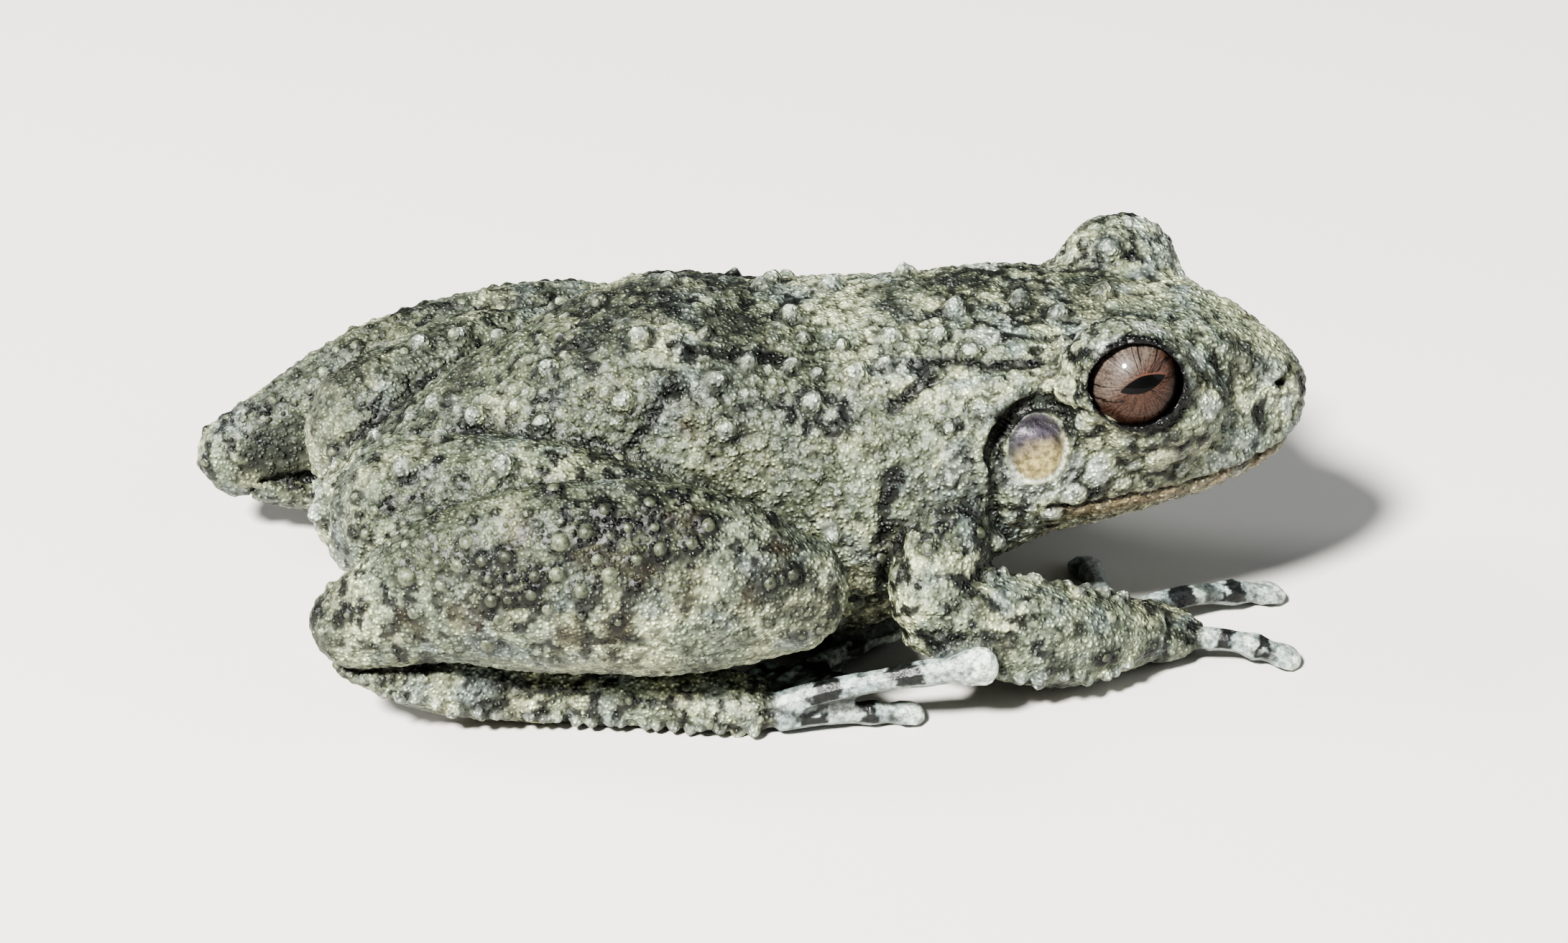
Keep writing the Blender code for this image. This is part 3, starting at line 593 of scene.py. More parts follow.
@dataclass
class Beads:
    """Smooth beads that stand on the skin: where they are, how they stand and their colours.

    Attributes:
        places: the middles of their bases.
        lies: the directions that they stand in.
        radii: half their widths.
        tones: their colours.
        uneven: how much their sizes vary, as a share.
    """

    places: list[np.ndarray] = field(default_factory=list)
    lies: list[np.ndarray] = field(default_factory=list)
    radii: list[float] = field(default_factory=list)
    tones: list[np.ndarray] = field(default_factory=list)
    uneven: float = 0.12

    def add(self, place: np.ndarray, lie: np.ndarray, radius: float, tone: np.ndarray) -> None:
        """Add one bead, and lift it so far that it stays above the floor.

        Args:
            place: the middle of its base.
            lie: the direction that it stands in.
            radius: half its width.
            tone: its colour.
        """
        lift = max(0.0, 1.15 * radius - place[2])
        self.places.append(place + np.array((0.0, 0.0, lift)))
        self.lies.append(lie)
        self.radii.append(radius)
        self.tones.append(tone)

    def build(self, name: str, frame: FrogFrame, material: bpy.types.Material) -> bpy.types.Object:
        """Return the beads as one plain mesh, set on their points by geometry nodes.

        Args:
            name: the piece's name.
            frame: the frog's frame.
            material: the beads' finish.

        Returns:
            The object, at the origin.
        """
        mesh = bpy.data.meshes.new(name)
        mesh.from_pydata(frame.to_model(np.array(self.places)).tolist(), [], [])
        sizes = np.column_stack([self.radii] * 3) * MM
        for attribute, rows in (("size", sizes), ("lie", np.array(self.lies))):
            layer = mesh.attributes.new(attribute, "FLOAT_VECTOR", "POINT")
            layer.data.foreach_set("vector", rows.astype(np.float32).ravel())
        layer = mesh.attributes.new("tone", "FLOAT_COLOR", "POINT")
        rgba = np.column_stack([np.array(self.tones), np.ones(len(self.tones))])
        layer.data.foreach_set("color", rgba.astype(np.float32).ravel())
        cloud = add_object(name + "_points", mesh)
        change = cloud.modifiers.new("beads", "NODES")
        tree = self._tree(material)
        change.node_group = tree
        for item in tree.interface.items_tree:
            if item.name == "Bead Size":
                change[item.identifier] = 1.0
        graph = bpy.context.evaluated_depsgraph_get()
        plain = bpy.data.meshes.new_from_object(cloud.evaluated_get(graph))
        cloud.modifiers.remove(change)
        bpy.data.objects.remove(cloud, do_unlink=True)
        return add_object(name, plain)

    def _tree(self, material: bpy.types.Material) -> bpy.types.NodeTree:
        """Return the nodes that set a rounded bead on each point and make it real mesh.

        Args:
            material: the beads' finish.

        Returns:
            The node tree, with an input for the size of the beads.
        """
        tree = bpy.data.node_groups.new("bead_setter", "GeometryNodeTree")
        tree.interface.new_socket("Points", in_out="INPUT", socket_type="NodeSocketGeometry")
        size = tree.interface.new_socket("Bead Size", in_out="INPUT", socket_type="NodeSocketFloat")
        size.default_value = 1.0
        tree.interface.new_socket("Beads", in_out="OUTPUT", socket_type="NodeSocketGeometry")
        add = tree.nodes.new
        start, end = add("NodeGroupInput"), add("NodeGroupOutput")
        ball = add("GeometryNodeMeshIcoSphere")
        ball.inputs["Radius"].default_value = 1.0
        ball.inputs["Subdivisions"].default_value = 2
        sizes, lies = add("GeometryNodeInputNamedAttribute"), add("GeometryNodeInputNamedAttribute")
        for node, name in ((sizes, "size"), (lies, "lie")):
            node.data_type = "FLOAT_VECTOR"
            node.inputs["Name"].default_value = name
        vary = add("FunctionNodeRandomValue")
        vary.data_type = "FLOAT"
        vary.inputs[2].default_value = 1 - self.uneven
        vary.inputs[3].default_value = 1 + self.uneven
        vary.inputs["Seed"].default_value = 7
        scaled, varied = add("ShaderNodeVectorMath"), add("ShaderNodeVectorMath")
        scaled.operation = varied.operation = "SCALE"
        turn = add("FunctionNodeAlignRotationToVector")
        turn.axis = "Z"
        setter, real = add("GeometryNodeInstanceOnPoints"), add("GeometryNodeRealizeInstances")
        smooth, dress = add("GeometryNodeSetShadeSmooth"), add("GeometryNodeSetMaterial")
        dress.inputs["Material"].default_value = material
        for source, output, target, entry in (
                (start, "Points", setter, "Points"), (ball, "Mesh", setter, "Instance"),
                (sizes, "Attribute", scaled, 0), (start, "Bead Size", scaled, "Scale"),
                (scaled, 0, varied, 0), (vary, 1, varied, "Scale"), (varied, 0, setter, "Scale"),
                (lies, "Attribute", turn, "Vector"), (turn, "Rotation", setter, "Rotation"),
                (setter, "Instances", real, "Geometry"), (real, "Geometry", smooth, "Geometry"),
                (smooth, "Geometry", dress, "Geometry"), (dress, "Geometry", end, "Beads")):
            tree.links.new(source.outputs[output], target.inputs[entry])
        return tree


@dataclass
class Skin:
    """The whole skin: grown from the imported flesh, sculpted, marked and shared out in pieces.

    Attributes:
        frame: the frog's frame.
        view: the view of the photograph.
        voxel: width of the quads that the skin is made of.
        swell: how far the flesh is grown to close the gaps between its parts.
        seed: number that picks where random warts and beads stand.
        pebble: width of the cells of the coarse grain.
        fine_grain: width of the cells of the fine grain.
        tubercle: half the width of the tubercles that stand in rows.
        wart_tries: how many places are tried for random warts.
        wart_limit: how far forward random warts stand.
        bead_tries: how many places are tried for random beads.
        neck: where the trunk's skin ends and the head's starts.
        surface: the skin itself.
        parts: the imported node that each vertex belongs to.
        tree: the sculpted skin for finding places, before its folds, pads, grain and warts.
        beads: the beads that stand on it.
        fields: values for each vertex, by name.
    """

    frame: FrogFrame
    view: PhotoView
    voxel: float = 0.115
    swell: float = 0.2
    seed: int = 11
    pebble: float = 0.56
    fine_grain: float = 0.34
    tubercle: float = 0.33
    wart_tries: int = 7000
    wart_limit: float = 28.0
    bead_tries: int = 26000
    neck: float = 23.5
    surface: Surface | None = None
    parts: np.ndarray | None = None
    tree: BVHTree | None = None
    beads: Beads = field(default_factory=Beads)
    fields: dict[str, np.ndarray] = field(default_factory=dict)

    def build(self, nodes: dict[str, bpy.types.Object]) -> None:
        """Grow, sculpt and colour the skin.

        Args:
            nodes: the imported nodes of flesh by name.
        """
        self.surface = self._grow(nodes)
        log.info("grown: %d vertices", len(self.surface.points))
        self._map_parts(nodes)
        self.fields["along"] = self._digit_places(nodes)
        self._sculpt_head()
        self._sculpt_body()
        self.tree = BVHTree.FromPolygons(self.surface.points.tolist(), self.surface.quads.tolist())
        self._find_creases()
        self._sink_strokes()
        self._raise_pads()
        self._add_warts()
        self.surface.points[:, 2] = np.maximum(self.surface.points[:, 2], 0.0)
        self._colour()
        log.info("coloured")

    def _flesh_of(self, node: bpy.types.Object) -> tuple[np.ndarray, list[tuple[int, ...]], np.ndarray]:
        """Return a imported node's merged points, triangles and outward directions.

        Args:
            node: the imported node.

        Returns:
            Its points in the frog's frame, its triangles and the direction at each point.
        """
        work = bmesh.new()
        work.from_mesh(node.data)
        bmesh.ops.remove_doubles(work, verts=work.verts, dist=1e-7)
        bmesh.ops.triangulate(work, faces=work.faces)
        work.verts.index_update()
        work.normal_update()
        points = self.frame.to_frog([tuple(v.co) for v in work.verts])
        faces = [tuple(v.index for v in face.verts) for face in work.faces]
        outward = np.array([tuple(v.normal) for v in work.verts])
        work.free()
        return points, faces, outward

    def _all_flesh(self, nodes: dict[str, bpy.types.Object],
                   swell: float) -> tuple[np.ndarray, list[tuple[int, ...]], list[str]]:
        """Return all the flesh as one set of points and triangles.

        Args:
            nodes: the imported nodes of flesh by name.
            swell: how far each node is grown.

        Returns:
            The points, the triangles and the node that each triangle belongs to.
        """
        points, faces, owners, count = [], [], [], 0
        for name, node in nodes.items():
            place, triangles, outward = self._flesh_of(node)
            points.append(place + outward * swell)
            faces += [tuple(index + count for index in row) for row in triangles]
            owners += [name] * len(triangles)
            count += len(place)
        return np.vstack(points), faces, owners

    def _grow(self, nodes: dict[str, bpy.types.Object]) -> Surface:
        """Return one even skin round all the flesh.

        Args:
            nodes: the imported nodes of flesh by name.

        Returns:
            The skin, smoothed and back at the flesh's size.
        """
        points, faces, _ = self._all_flesh(nodes, self.swell)
        mesh = bpy.data.meshes.new("flesh")
        mesh.from_pydata(points.tolist(), [], faces)
        thing = add_object("flesh", mesh)
        change = thing.modifiers.new("even", "REMESH")
        change.mode = "VOXEL"
        change.voxel_size = self.voxel
        graph = bpy.context.evaluated_depsgraph_get()
        even = bpy.data.meshes.new_from_object(thing.evaluated_get(graph))
        bpy.data.objects.remove(thing, do_unlink=True)
        co = np.empty(len(even.vertices) * 3, np.float32)
        even.vertices.foreach_get("co", co)
        quads = np.empty(len(even.loops), np.int32)
        even.loops.foreach_get("vertex_index", quads)
        edges = np.empty(len(even.edges) * 2, np.int32)
        even.edges.foreach_get("vertices", edges)
        surface = Surface(co.reshape(-1, 3).astype(float), quads.reshape(-1, 4), edges.reshape(-1, 2))
        bpy.data.meshes.remove(even)
        surface.relax(12)
        surface.raise_by(np.full(len(surface.points), -self.swell))
        surface.relax(14)
        return surface

    def _map_parts(self, nodes: dict[str, bpy.types.Object]) -> None:
        """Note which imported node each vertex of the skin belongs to.

        Args:
            nodes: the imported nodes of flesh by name.
        """
        points, faces, owners = self._all_flesh(nodes, 0.0)
        tree = BVHTree.FromPolygons(points.tolist(), faces)
        found = [tree.find_nearest(point)[2] for point in self.surface.points.tolist()]
        self.parts = np.array(owners)[found]

    def _digit_places(self, nodes: dict[str, bpy.types.Object]) -> np.ndarray:
        """Return how far along its toe or finger each vertex lies.

        Args:
            nodes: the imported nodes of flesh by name.

        Returns:
            A share from 0 at the root to 1 at the tip, and 0 off the digits.
        """
        along = np.zeros(len(self.surface.points))
        for name, node in nodes.items():
            if not name.startswith(DIGITS):
                continue
            home = ("foot_" if name.startswith("toe") else "hand_") + name[-1]
            middle = self._flesh_of(nodes[home])[0].mean(axis=0)
            points = self._flesh_of(node)[0]
            away = np.linalg.norm(points - middle, axis=1)
            root, tip = points[away.argmin()], points[away.argmax()]
            own = self.parts == name
            axis = tip - root
            along[own] = (self.surface.points[own] - root) @ axis / (axis @ axis)
        return along

    def share_of(self, *stems: str, soften: int = 12) -> np.ndarray:
        """Return, from 0 to 1, how much each vertex belongs to nodes that start with a stem.

        Args:
            *stems: how the names of the nodes start.
            soften: how far the edge is spread, in steps.

        Returns:
            One share for each vertex.
        """
        chosen = [name for name in np.unique(self.parts) if name.startswith(stems)]
        return self.surface.soften(np.isin(self.parts, chosen).astype(float), soften)

    def _sculpt_head(self) -> None:
        """Smooth the orbits into the head and shape lids, drums, nostrils and lips."""
        surface = self.surface
        body = self.frame.straight(surface.points)
        on_head = self.share_of("head", "lower_jaw")
        ring, depth, _ = EYE.measure(body)
        free = ease(1.05, 1.5, ring) + ease(0.0, -0.6, depth)
        flat = self.share_of("tympanum", soften=3)
        surface.relax(60, np.maximum(on_head * np.clip(free, 0, 1), flat), keep_size=False)
        surface.relax(10, np.maximum(on_head, 0.3))
        body = self.frame.straight(surface.points)
        ring, depth, angle = EYE.measure(body)
        near = on_head * ease(-1.5, 0.0, depth)
        uneven = Pattern.LIDS.at(body)
        lids = hill(ring, 1.12, 0.12) * 0.12 * uneven - hill(ring, 1.36, 0.14) * 0.10 * uneven
        lids = lids + hill(ring, 1.66, 0.18) * 0.22 * ease(-10, -70, angle) * ease(0.4, 0.6, uneven)
        heights = near * lids
        rim, way, turn = DRUM.measure(body)
        side = on_head * (way > -1.2)
        heights += side * (hill(rim, 1.0, 0.13) * 0.14 - ease(1.0, 0.7, rim) * 0.10)
        behind = self._behind_drum(turn)
        heights += side * behind * (hill(rim, 1.8, 0.3) * 0.34 - hill(rim, 1.32, 0.16) * 0.34)
        pit, reach, _ = NOSTRIL.measure(body)
        beside = on_head * (np.abs(reach) < 1.4)
        heights += beside * (hill(pit, 1.9, 0.7) * 0.10 - ease(1.2, 0.5, pit) * 0.34)
        lips = self._mouth_distance(body)
        heights += on_head * (hill(lips, 0.0, 0.10) * -0.17 + hill(lips, 0.34, 0.2) * 0.06)
        heights += on_head * hill(lips, -0.34, 0.2) * 0.05
        surface.raise_by(heights)

    def _marked(self, kind: Mark) -> tuple[np.ndarray, np.ndarray]:
        """Return the places on the skin and the widths of the marks of one kind."""
        rows = [(pixel, width) for mark, width, pixels in NEAR_MARKS if mark is kind for pixel in pixels]
        return np.array([self.seen_at(pixel) for pixel, _ in rows]), np.array([width for _, width in rows])

    def _raise_pads(self) -> None:
        """Raise the rounded pads of the upper lip, and note them and the dark cracks round them."""
        surface = self.surface
        centres, sizes = self._marked(Mark.PAD)
        mirrored = self._mirrored(surface.points)
        share, nearest = self._nearest(mirrored, self._mirrored(centres), sizes / 2)
        share = share + 0.5 * (Pattern.PAD_EDGE.at(surface.points) - 0.5)
        on_head = self.share_of(*TRUNK)
        surface.raise_by(np.clip(1 - share**2, 0, 1) * sizes[nearest] * 0.15 * on_head)
        self.fields["pad"] = ease(1.0, 0.7, share) * on_head
        broken = ease(0.35, 0.55, Pattern.PAD_CRACK.at(surface.points))
        self.fields["crack"] = hill(share, 1.16, 0.17) * broken * on_head

    @staticmethod
    def _behind_drum(turn: np.ndarray) -> np.ndarray:
        """Return 1 above and behind a drum and 0 below it, from the angle round it."""
        return np.maximum(ease(10, 60, turn), ease(120, 160, np.abs(turn)))

    @staticmethod
    def _mouth_distance(body: np.ndarray) -> np.ndarray:
        """Return how far above the line of the mouth points lie, large behind its corner.

        Args:
            body: points on the straight body.

        Returns:
            One height for each point, below 0 under the line.
        """
        places, heights = np.array(MOUTH_LINE).T
        above = body[:, 2] - np.interp(body[:, 0], places, heights)
        behind = np.maximum(places[0] - body[:, 0], 0.0)
        return np.where(behind > 0, np.hypot(above, behind) + behind, above)

    def _sculpt_body(self) -> None:
        """Add the flesh's own soft folds and dents."""
        surface = self.surface
        digits = self.share_of(*DIGITS, "hand", "foot")
        lumps = Pattern.LUMPS.at(surface.points) - 0.5
        surface.raise_by(lumps * 0.28 * (1 - digits))

    def _find_creases(self) -> None:
        """Note painted shade where a vertex lies in a hollow between rounded forms or in the fold between
        shank and foot, and sink the folds.
        """
        surface = self.surface
        inward = ((surface.around(surface.points) - surface.points) * surface.normals()).sum(axis=1)
        hollow = ease(0.0006, 0.004, surface.soften(inward, 8))
        fold = 4 * self.share_of("shank", soften=10) * self.share_of("tarsus", "foot", soften=10)
        fold = ease(0.25, 0.7, fold) * ease(0.0, 0.0015, surface.soften(inward, 8))
        # Painted shade: hollows and the fold are later darkened towards black
        self.fields["crease"] = np.maximum(hollow * 0.75, fold)
        surface.raise_by(-fold * 0.3)

    def _mirrored(self, points: np.ndarray) -> np.ndarray:
        """Return places on the straight body, with both sides laid over the left."""
        body = self.frame.straight(np.atleast_2d(points))
        return np.column_stack([body[:, 0], np.abs(body[:, 1]), body[:, 2]])

    @staticmethod
    def _from_line(places: np.ndarray, line: np.ndarray) -> np.ndarray:
        """Return the distance from each place to a line through points.

        Args:
            places: the places, one row each.
            line: the points, one row each.

        Returns:
            One distance for each place.
        """
        nearest = np.full(len(places), 99.0)
        for start, end in zip(line[:-1], line[1:]):
            along = end - start
            share = np.clip((places - start) @ along / (along @ along), 0.0, 1.0)
            nearest = np.minimum(nearest, np.linalg.norm(places - start - share[:, None] * along, axis=1))
        return nearest

    def _sink_strokes(self) -> None:
        """Sink the folds of trunk and head, and note how dark each vertex is painted along them: partly
        painted shade in the folds, partly the skin's own dark lines.
        """
        surface = self.surface
        mirrored = self._mirrored(surface.points)
        trunk = self.share_of(*TRUNK)
        ragged = Pattern.STROKE_EDGE.at(surface.points) - 0.5
        heights, dark = np.zeros(len(mirrored)), np.zeros(len(mirrored))
        for stroke in STROKES:
            line = self._mirrored(np.array([self.seen_at(pixel) for pixel in stroke.pixels]))
            distance = self._from_line(mirrored, line)
            heights -= hill(distance, 0.0, stroke.width * 0.7) * stroke.depth
            edge = distance + ragged * stroke.width * 0.8
            # Painted shade in the fold, with the skin's own dark line, darkest along its middle
            dark = np.maximum(dark, ease(stroke.width * 0.6, stroke.width * 0.3, edge))
        self.fields["stroke"] = dark * trunk
        surface.raise_by(heights * trunk)

    def _add_warts(self) -> None:
        """Raise pebbly grain all over, warts on trunk and limbs, and set the beads."""
        surface = self.surface
        points, normals = surface.points, surface.normals()
        digits = self.share_of(*DIGITS)
        limbs = self.share_of(*LIMBS, soften=6)
        calm = self._calm_places(self.frame.straight(points)) * (1 - 0.9 * digits)
        pebbles = Noise.grains(points, self.pebble, 21)
        fine = Noise.grains(points, self.fine_grain, 22)
        coarse = Pattern.COARSE.at(points)
        heights = (pebbles - 0.4) * (0.09 + 0.12 * coarse) * (1 - 0.75 * limbs) + (fine - 0.4) * 0.07
        self.fields["gaps"] = np.maximum(
            ease(0.35, 0.0, pebbles) * (1 - 0.7 * limbs), ease(0.3, 0.0, fine) * 0.7) * calm
        # Painted highlight: the tops of the coarse grains are paled later
        self.fields["tips"] = ease(0.75, 1.0, pebbles) * (1 - 0.7 * limbs) * calm
        upper = ease(-0.6, -0.1, normals[:, 2]) * (1 - digits) * calm * (1 - self.fields["pad"])
        centres, sizes = self._place_mounds(points, upper * (1 - 0.8 * limbs))
        share, nearest = self._nearest(points, centres, sizes / 2)
        domes = np.clip(1 - share**2, 0, 1) ** 1.2
        heights = heights * (1 - 0.6 * self.fields["pad"]) + domes * sizes[nearest] * 0.42
        # Painted highlight on the warts' tops, and painted shade in a dark ring round their bases
        self.fields["wart"] = ease(0.8, 0.2, share) * calm
        self.fields["ring"] = hill(share, 1.1, 0.25) * calm
        rows = self._row_places()
        beside, _ = self._nearest(points, rows, np.full(len(rows), self.tubercle))
        heights += np.clip(1 - beside**2, 0, 1) * 0.3
        self.fields["row"] = ease(1.0, 0.3, beside)
        surface.raise_by(heights * calm)
        self._place_beads(upper, limbs)

    @staticmethod
    def _nearest(points: np.ndarray, centres: np.ndarray,
                 radii: np.ndarray) -> tuple[np.ndarray, np.ndarray]:
        """Return how far each point is from its nearest centre, in radii, and which that is.

        Args:
            points: the points, one row each.
            centres: the centres, one row each.
            radii: one radius for each centre.

        Returns:
            The distance as a share of the centre's radius, and the centre's index.
        """
        tree = kdtree.KDTree(len(centres))
        for index, centre in enumerate(centres):
            tree.insert(centre, index)
        tree.balance()
        found = [tree.find(point)[1:] for point in points.tolist()]
        nearest = np.array([row[0] for row in found])
        return np.array([row[1] for row in found]) / radii[nearest], nearest

    def _place_beads(self, upper: np.ndarray, limbs: np.ndarray) -> None:
        """Set the chosen beads and random ones on the limbs, and note the dark skin round them.

        Args:
            upper: how much each vertex faces up and is free for beads.
            limbs: how much each vertex belongs to a limb.
        """
        surface = self.surface
        points, normals = surface.points, surface.normals()
        chance = np.random.default_rng(self.seed + 1)
        finder = kdtree.KDTree(len(points))
        for index, point in enumerate(points.tolist()):
            finder.insert(point, index)
        finder.balance()
        centres, radii, darks = [], [], []
        for kind, dark in ((Mark.DARK_BEAD, 1.0), (Mark.BEAD, 0.4)):
            for place, width in zip(*self._marked(kind)):
                centres.append(finder.find(place)[1])
                radii.append(width / 2 * (0.85 + 0.3 * chance.random()))
                darks.append(dark)
        patchy = Pattern.BEAD_PATCHES.at(points)
        for index in chance.permutation(len(points))[:self.bead_tries]:
            wanted = upper[index] * limbs[index] * ease(0.25, 0.6, patchy[index])
            if chance.random() > wanted:
                continue
            radius = 0.13 + 0.15 * chance.random() ** 1.5
            apart = np.linalg.norm(points[centres] - points[index], axis=1) - np.array(radii)
            if apart.min() > radius + 0.2 + 0.8 * chance.random():
                centres.append(index)
                radii.append(radius)
                darks.append(chance.random() ** 2)
        for index, radius, dark in zip(centres, radii, darks):
            tone = Tone.BEAD.light * (0.75 + 0.6 * chance.random()) * (1 - 0.6 * dark)
            base = points[index] - normals[index] * radius * 0.3
            self.beads.add(base, normals[index], radius, np.clip(tone, 0, 1))
        share, nearest = self._nearest(points, points[centres], np.array(radii))
        ragged = Pattern.RING_EDGE.at(points) - 0.5
        darkness = np.array(darks)[nearest]
        ring = ease(1.85, 1.3, share + ragged * 0.9) * (0.35 + 0.65 * darkness)
        star = ease(4.0, 1.2, share + ragged * 4.0) * ease(0.72, 0.85, darkness) * 0.7
        self.fields["bead_ring"] = np.maximum(ring, star)
        surface.raise_by(np.clip(1 - (share / 1.7) ** 2, 0, 1) * 0.1)
        log.info("beads: %d", len(centres))

    def _row_places(self) -> np.ndarray:
        """Return where the rows of pale tubercles stand, along feet and forearms.

        Returns:
            The places, one row each.
        """
        chance = np.random.default_rng(self.seed + 2)
        found = []
        for path, way in TUBERCLE_ROWS:
            line = np.array(path)
            steps = np.linalg.norm(np.diff(line, axis=0), axis=1)
            total, at = np.concatenate([[0.0], np.cumsum(steps)]), 0.0
            while at < total[-1]:
                inside = [np.interp(at, total, line[:, axis]) for axis in range(3)]
                lean = np.array(way) + chance.normal(0.0, 0.1, 3)
                hit = self.tree.ray_cast(Vector(inside), Vector(lean).normalized())[0]
                if hit is not None:
                    found.append(np.array(hit))
                at += 0.5 + 0.25 * chance.random()
        return np.array(found)

    def _calm_places(self, body: np.ndarray) -> np.ndarray:
        """Return where the skin has its grain.

        Args:
            body: points on the straight body.

        Returns:
            For each point 0 on drums and eye sockets, where the skin is smooth, and 1 elsewhere.
        """
        drum = ease(0.95, 1.15, DRUM.measure(body)[0])
        eye = ease(0.98, 1.1, EYE.measure(body)[0])
        beside = np.abs(body[:, 1]) > 2.0
        return np.where(beside & (body[:, 0] > 27), np.minimum(drum, eye), 1.0)

    def _place_mounds(self, points: np.ndarray, upper: np.ndarray) -> tuple[np.ndarray, np.ndarray]:
        """Return the middles and widths of the low warts of trunk and head.

        Args:
            points: the skin's vertices.
            upper: how much each vertex faces up and is free for warts.

        Returns:
            The middles, one row each, and the widths.
        """
        centres, sizes = (list(values) for values in self._marked(Mark.MOUND))
        chance = np.random.default_rng(self.seed)
        order = chance.permutation(len(points))[:self.wart_tries]
        patchy = Pattern.WART_PATCHES.at(points[order])
        for index, patch in zip(order, patchy):
            if upper[index] < 0.2 + chance.random() or patch < 0.45 or points[index, 0] > self.wart_limit:
                continue
            width = 0.65 + 0.65 * chance.random() ** 1.5
            gap = np.linalg.norm(np.array(centres) - points[index], axis=1) - np.array(sizes) / 2
            if gap.min() > width * (0.7 + chance.random()):
                centres.append(points[index])
                sizes.append(width)
        log.info("mounds: %d", len(sizes))
        return np.array(centres), np.array(sizes)

    def seen_at(self, pixel: tuple[float, float]) -> np.ndarray:
        """Return the place on the skin that a pixel of the photograph shows.

        Args:
            pixel: how far across and down the pixel lies.

        Returns:
            The place, or the nearest one where the pixel shows no skin.
        """
        start = self.view.position()
        ray = self.view.ray(pixel)
        hit = self.tree.ray_cast(Vector(start), Vector(ray))[0]
        if hit is None:
            hit = self.tree.find_nearest(Vector(start + ray * self.view.distance))[0]
        return np.array(hit)

    def _colour(self) -> None:
        """Work out the colour and the share of grain of each vertex."""
        surface = self.surface
        points, normals = surface.points, surface.normals()
        body = self.frame.straight(points)
        limbs = self.share_of(*LIMBS, soften=6)
        arms = self.share_of("upper_arm", "forearm", "hand", "tarsus", "foot", soften=6)
        colour = Tone.GREY_GREEN.over(points)
        colour = blend_to(colour, Tone.CREAM, ease(0.42, 0.64, Pattern.CREAM.at(points)))
        colour = blend_to(colour, Tone.GREY, ease(0.5, 0.7, Pattern.GREY.at(points)) * 0.7)
        blotch = ease(0.54, 0.62, Pattern.BLOTCH.at(points))
        colour = blend_to(colour, Tone.OLIVE, blotch * 0.7)
        rump = ease(17.0, 11.0, body[:, 0]) * ease(6.5, 9.0, body[:, 2])
        patchy = 0.25 + 0.5 * ease(0.4, 0.6, Pattern.RUMP.at(points))
        colour = blend_to(colour, Tone.OLIVE, rump * patchy)
        # A random cloud that sets where the black flecks gather
        fleck_cloud = Pattern.SHADOW.at(points)
        fleck = ease(0.55, 0.61, Pattern.FLECK.at(points)) * ease(0.36, 0.6, fleck_cloud + 0.25 * arms)
        colour = blend_to(colour, Tone.BLACK, fleck * 0.92)
        below = ease(-0.35, -0.85, normals[:, 2] + 0.35 * limbs)
        colour = blend_to(colour, Tone.BELLY, below * 0.85)
        gaps = self.fields["gaps"] * ease(0.3, 0.6, Pattern.GAPS.at(points))
        colour = blend_to(colour, Tone.BLACK, gaps * 0.85 * (1 - 0.6 * below))
        # Painted highlight: pale tops on the coarse grains
        colour = blend_to(colour, Tone.WART, self.fields["tips"] * 0.4)
        # Painted shade round the bases of the warts, and a painted highlight on their tops
        colour = blend_to(colour, Tone.DARK, self.fields["ring"] * 0.7 * (1 - below))
        colour = blend_to(colour, Tone.WART, self.fields["wart"] * 0.7)
        colour = blend_to(colour, Tone.WHITE, self.fields["row"] * 0.55)
        colour = self._mark(points, colour)
        colour = blend_to(colour, Tone.BLACK, self.fields["bead_ring"] * 0.95 * (1 - below))
        colour = self._colour_digits(normals, colour)
        colour = self._colour_head(body, colour)
        # Painted shade: the folds and the hollows between forms are darkened towards black
        folds = np.maximum(self.fields["stroke"], self.fields["crease"])
        colour = blend_to(colour, Tone.BLACK, folds * 0.9)
        self.fields["tone"] = np.clip(colour, 0.002, 1.0)
        smooth = self.share_of(*DIGITS, soften=4)
        self.fields["grain"] = self._calm_places(body) * (1 - 0.8 * smooth)

    def _mark(self, points: np.ndarray, colour: np.ndarray) -> np.ndarray:
        """Return the colours with the chosen marks painted in, on both sides of the trunk.

        Args:
            points: the skin's vertices.
            colour: their colours.

        Returns:
            The new colours.
        """
        edge = Pattern.MARK_EDGE.at(points) - 0.5
        mirrored = self._mirrored(points)
        trunk = self.share_of(*TRUNK)
        for kind, width, pixels in NEAR_MARKS:
            if kind not in PAINTS:
                continue
            paint, strength, outer, inner = PAINTS[kind]
            for pixel in pixels:
                place = self.seen_at(pixel)
                on_limb = self._nearest_part(place).startswith(MARKED_LIMBS)
                if on_limb:
                    distance = np.linalg.norm(points - place, axis=1)
                else:
                    distance = np.linalg.norm(mirrored - self._mirrored(place), axis=1)
                share = ease(width * outer, width * inner, distance + edge * width * 1.1)
                colour = blend_to(colour, paint, share * strength * (1 if on_limb else trunk))
        return colour

    def _nearest_part(self, place: np.ndarray) -> str:
        """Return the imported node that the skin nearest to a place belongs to."""
        quad = self.tree.find_nearest(Vector(place))[2]
        return str(self.parts[self.surface.quads[quad][0]])

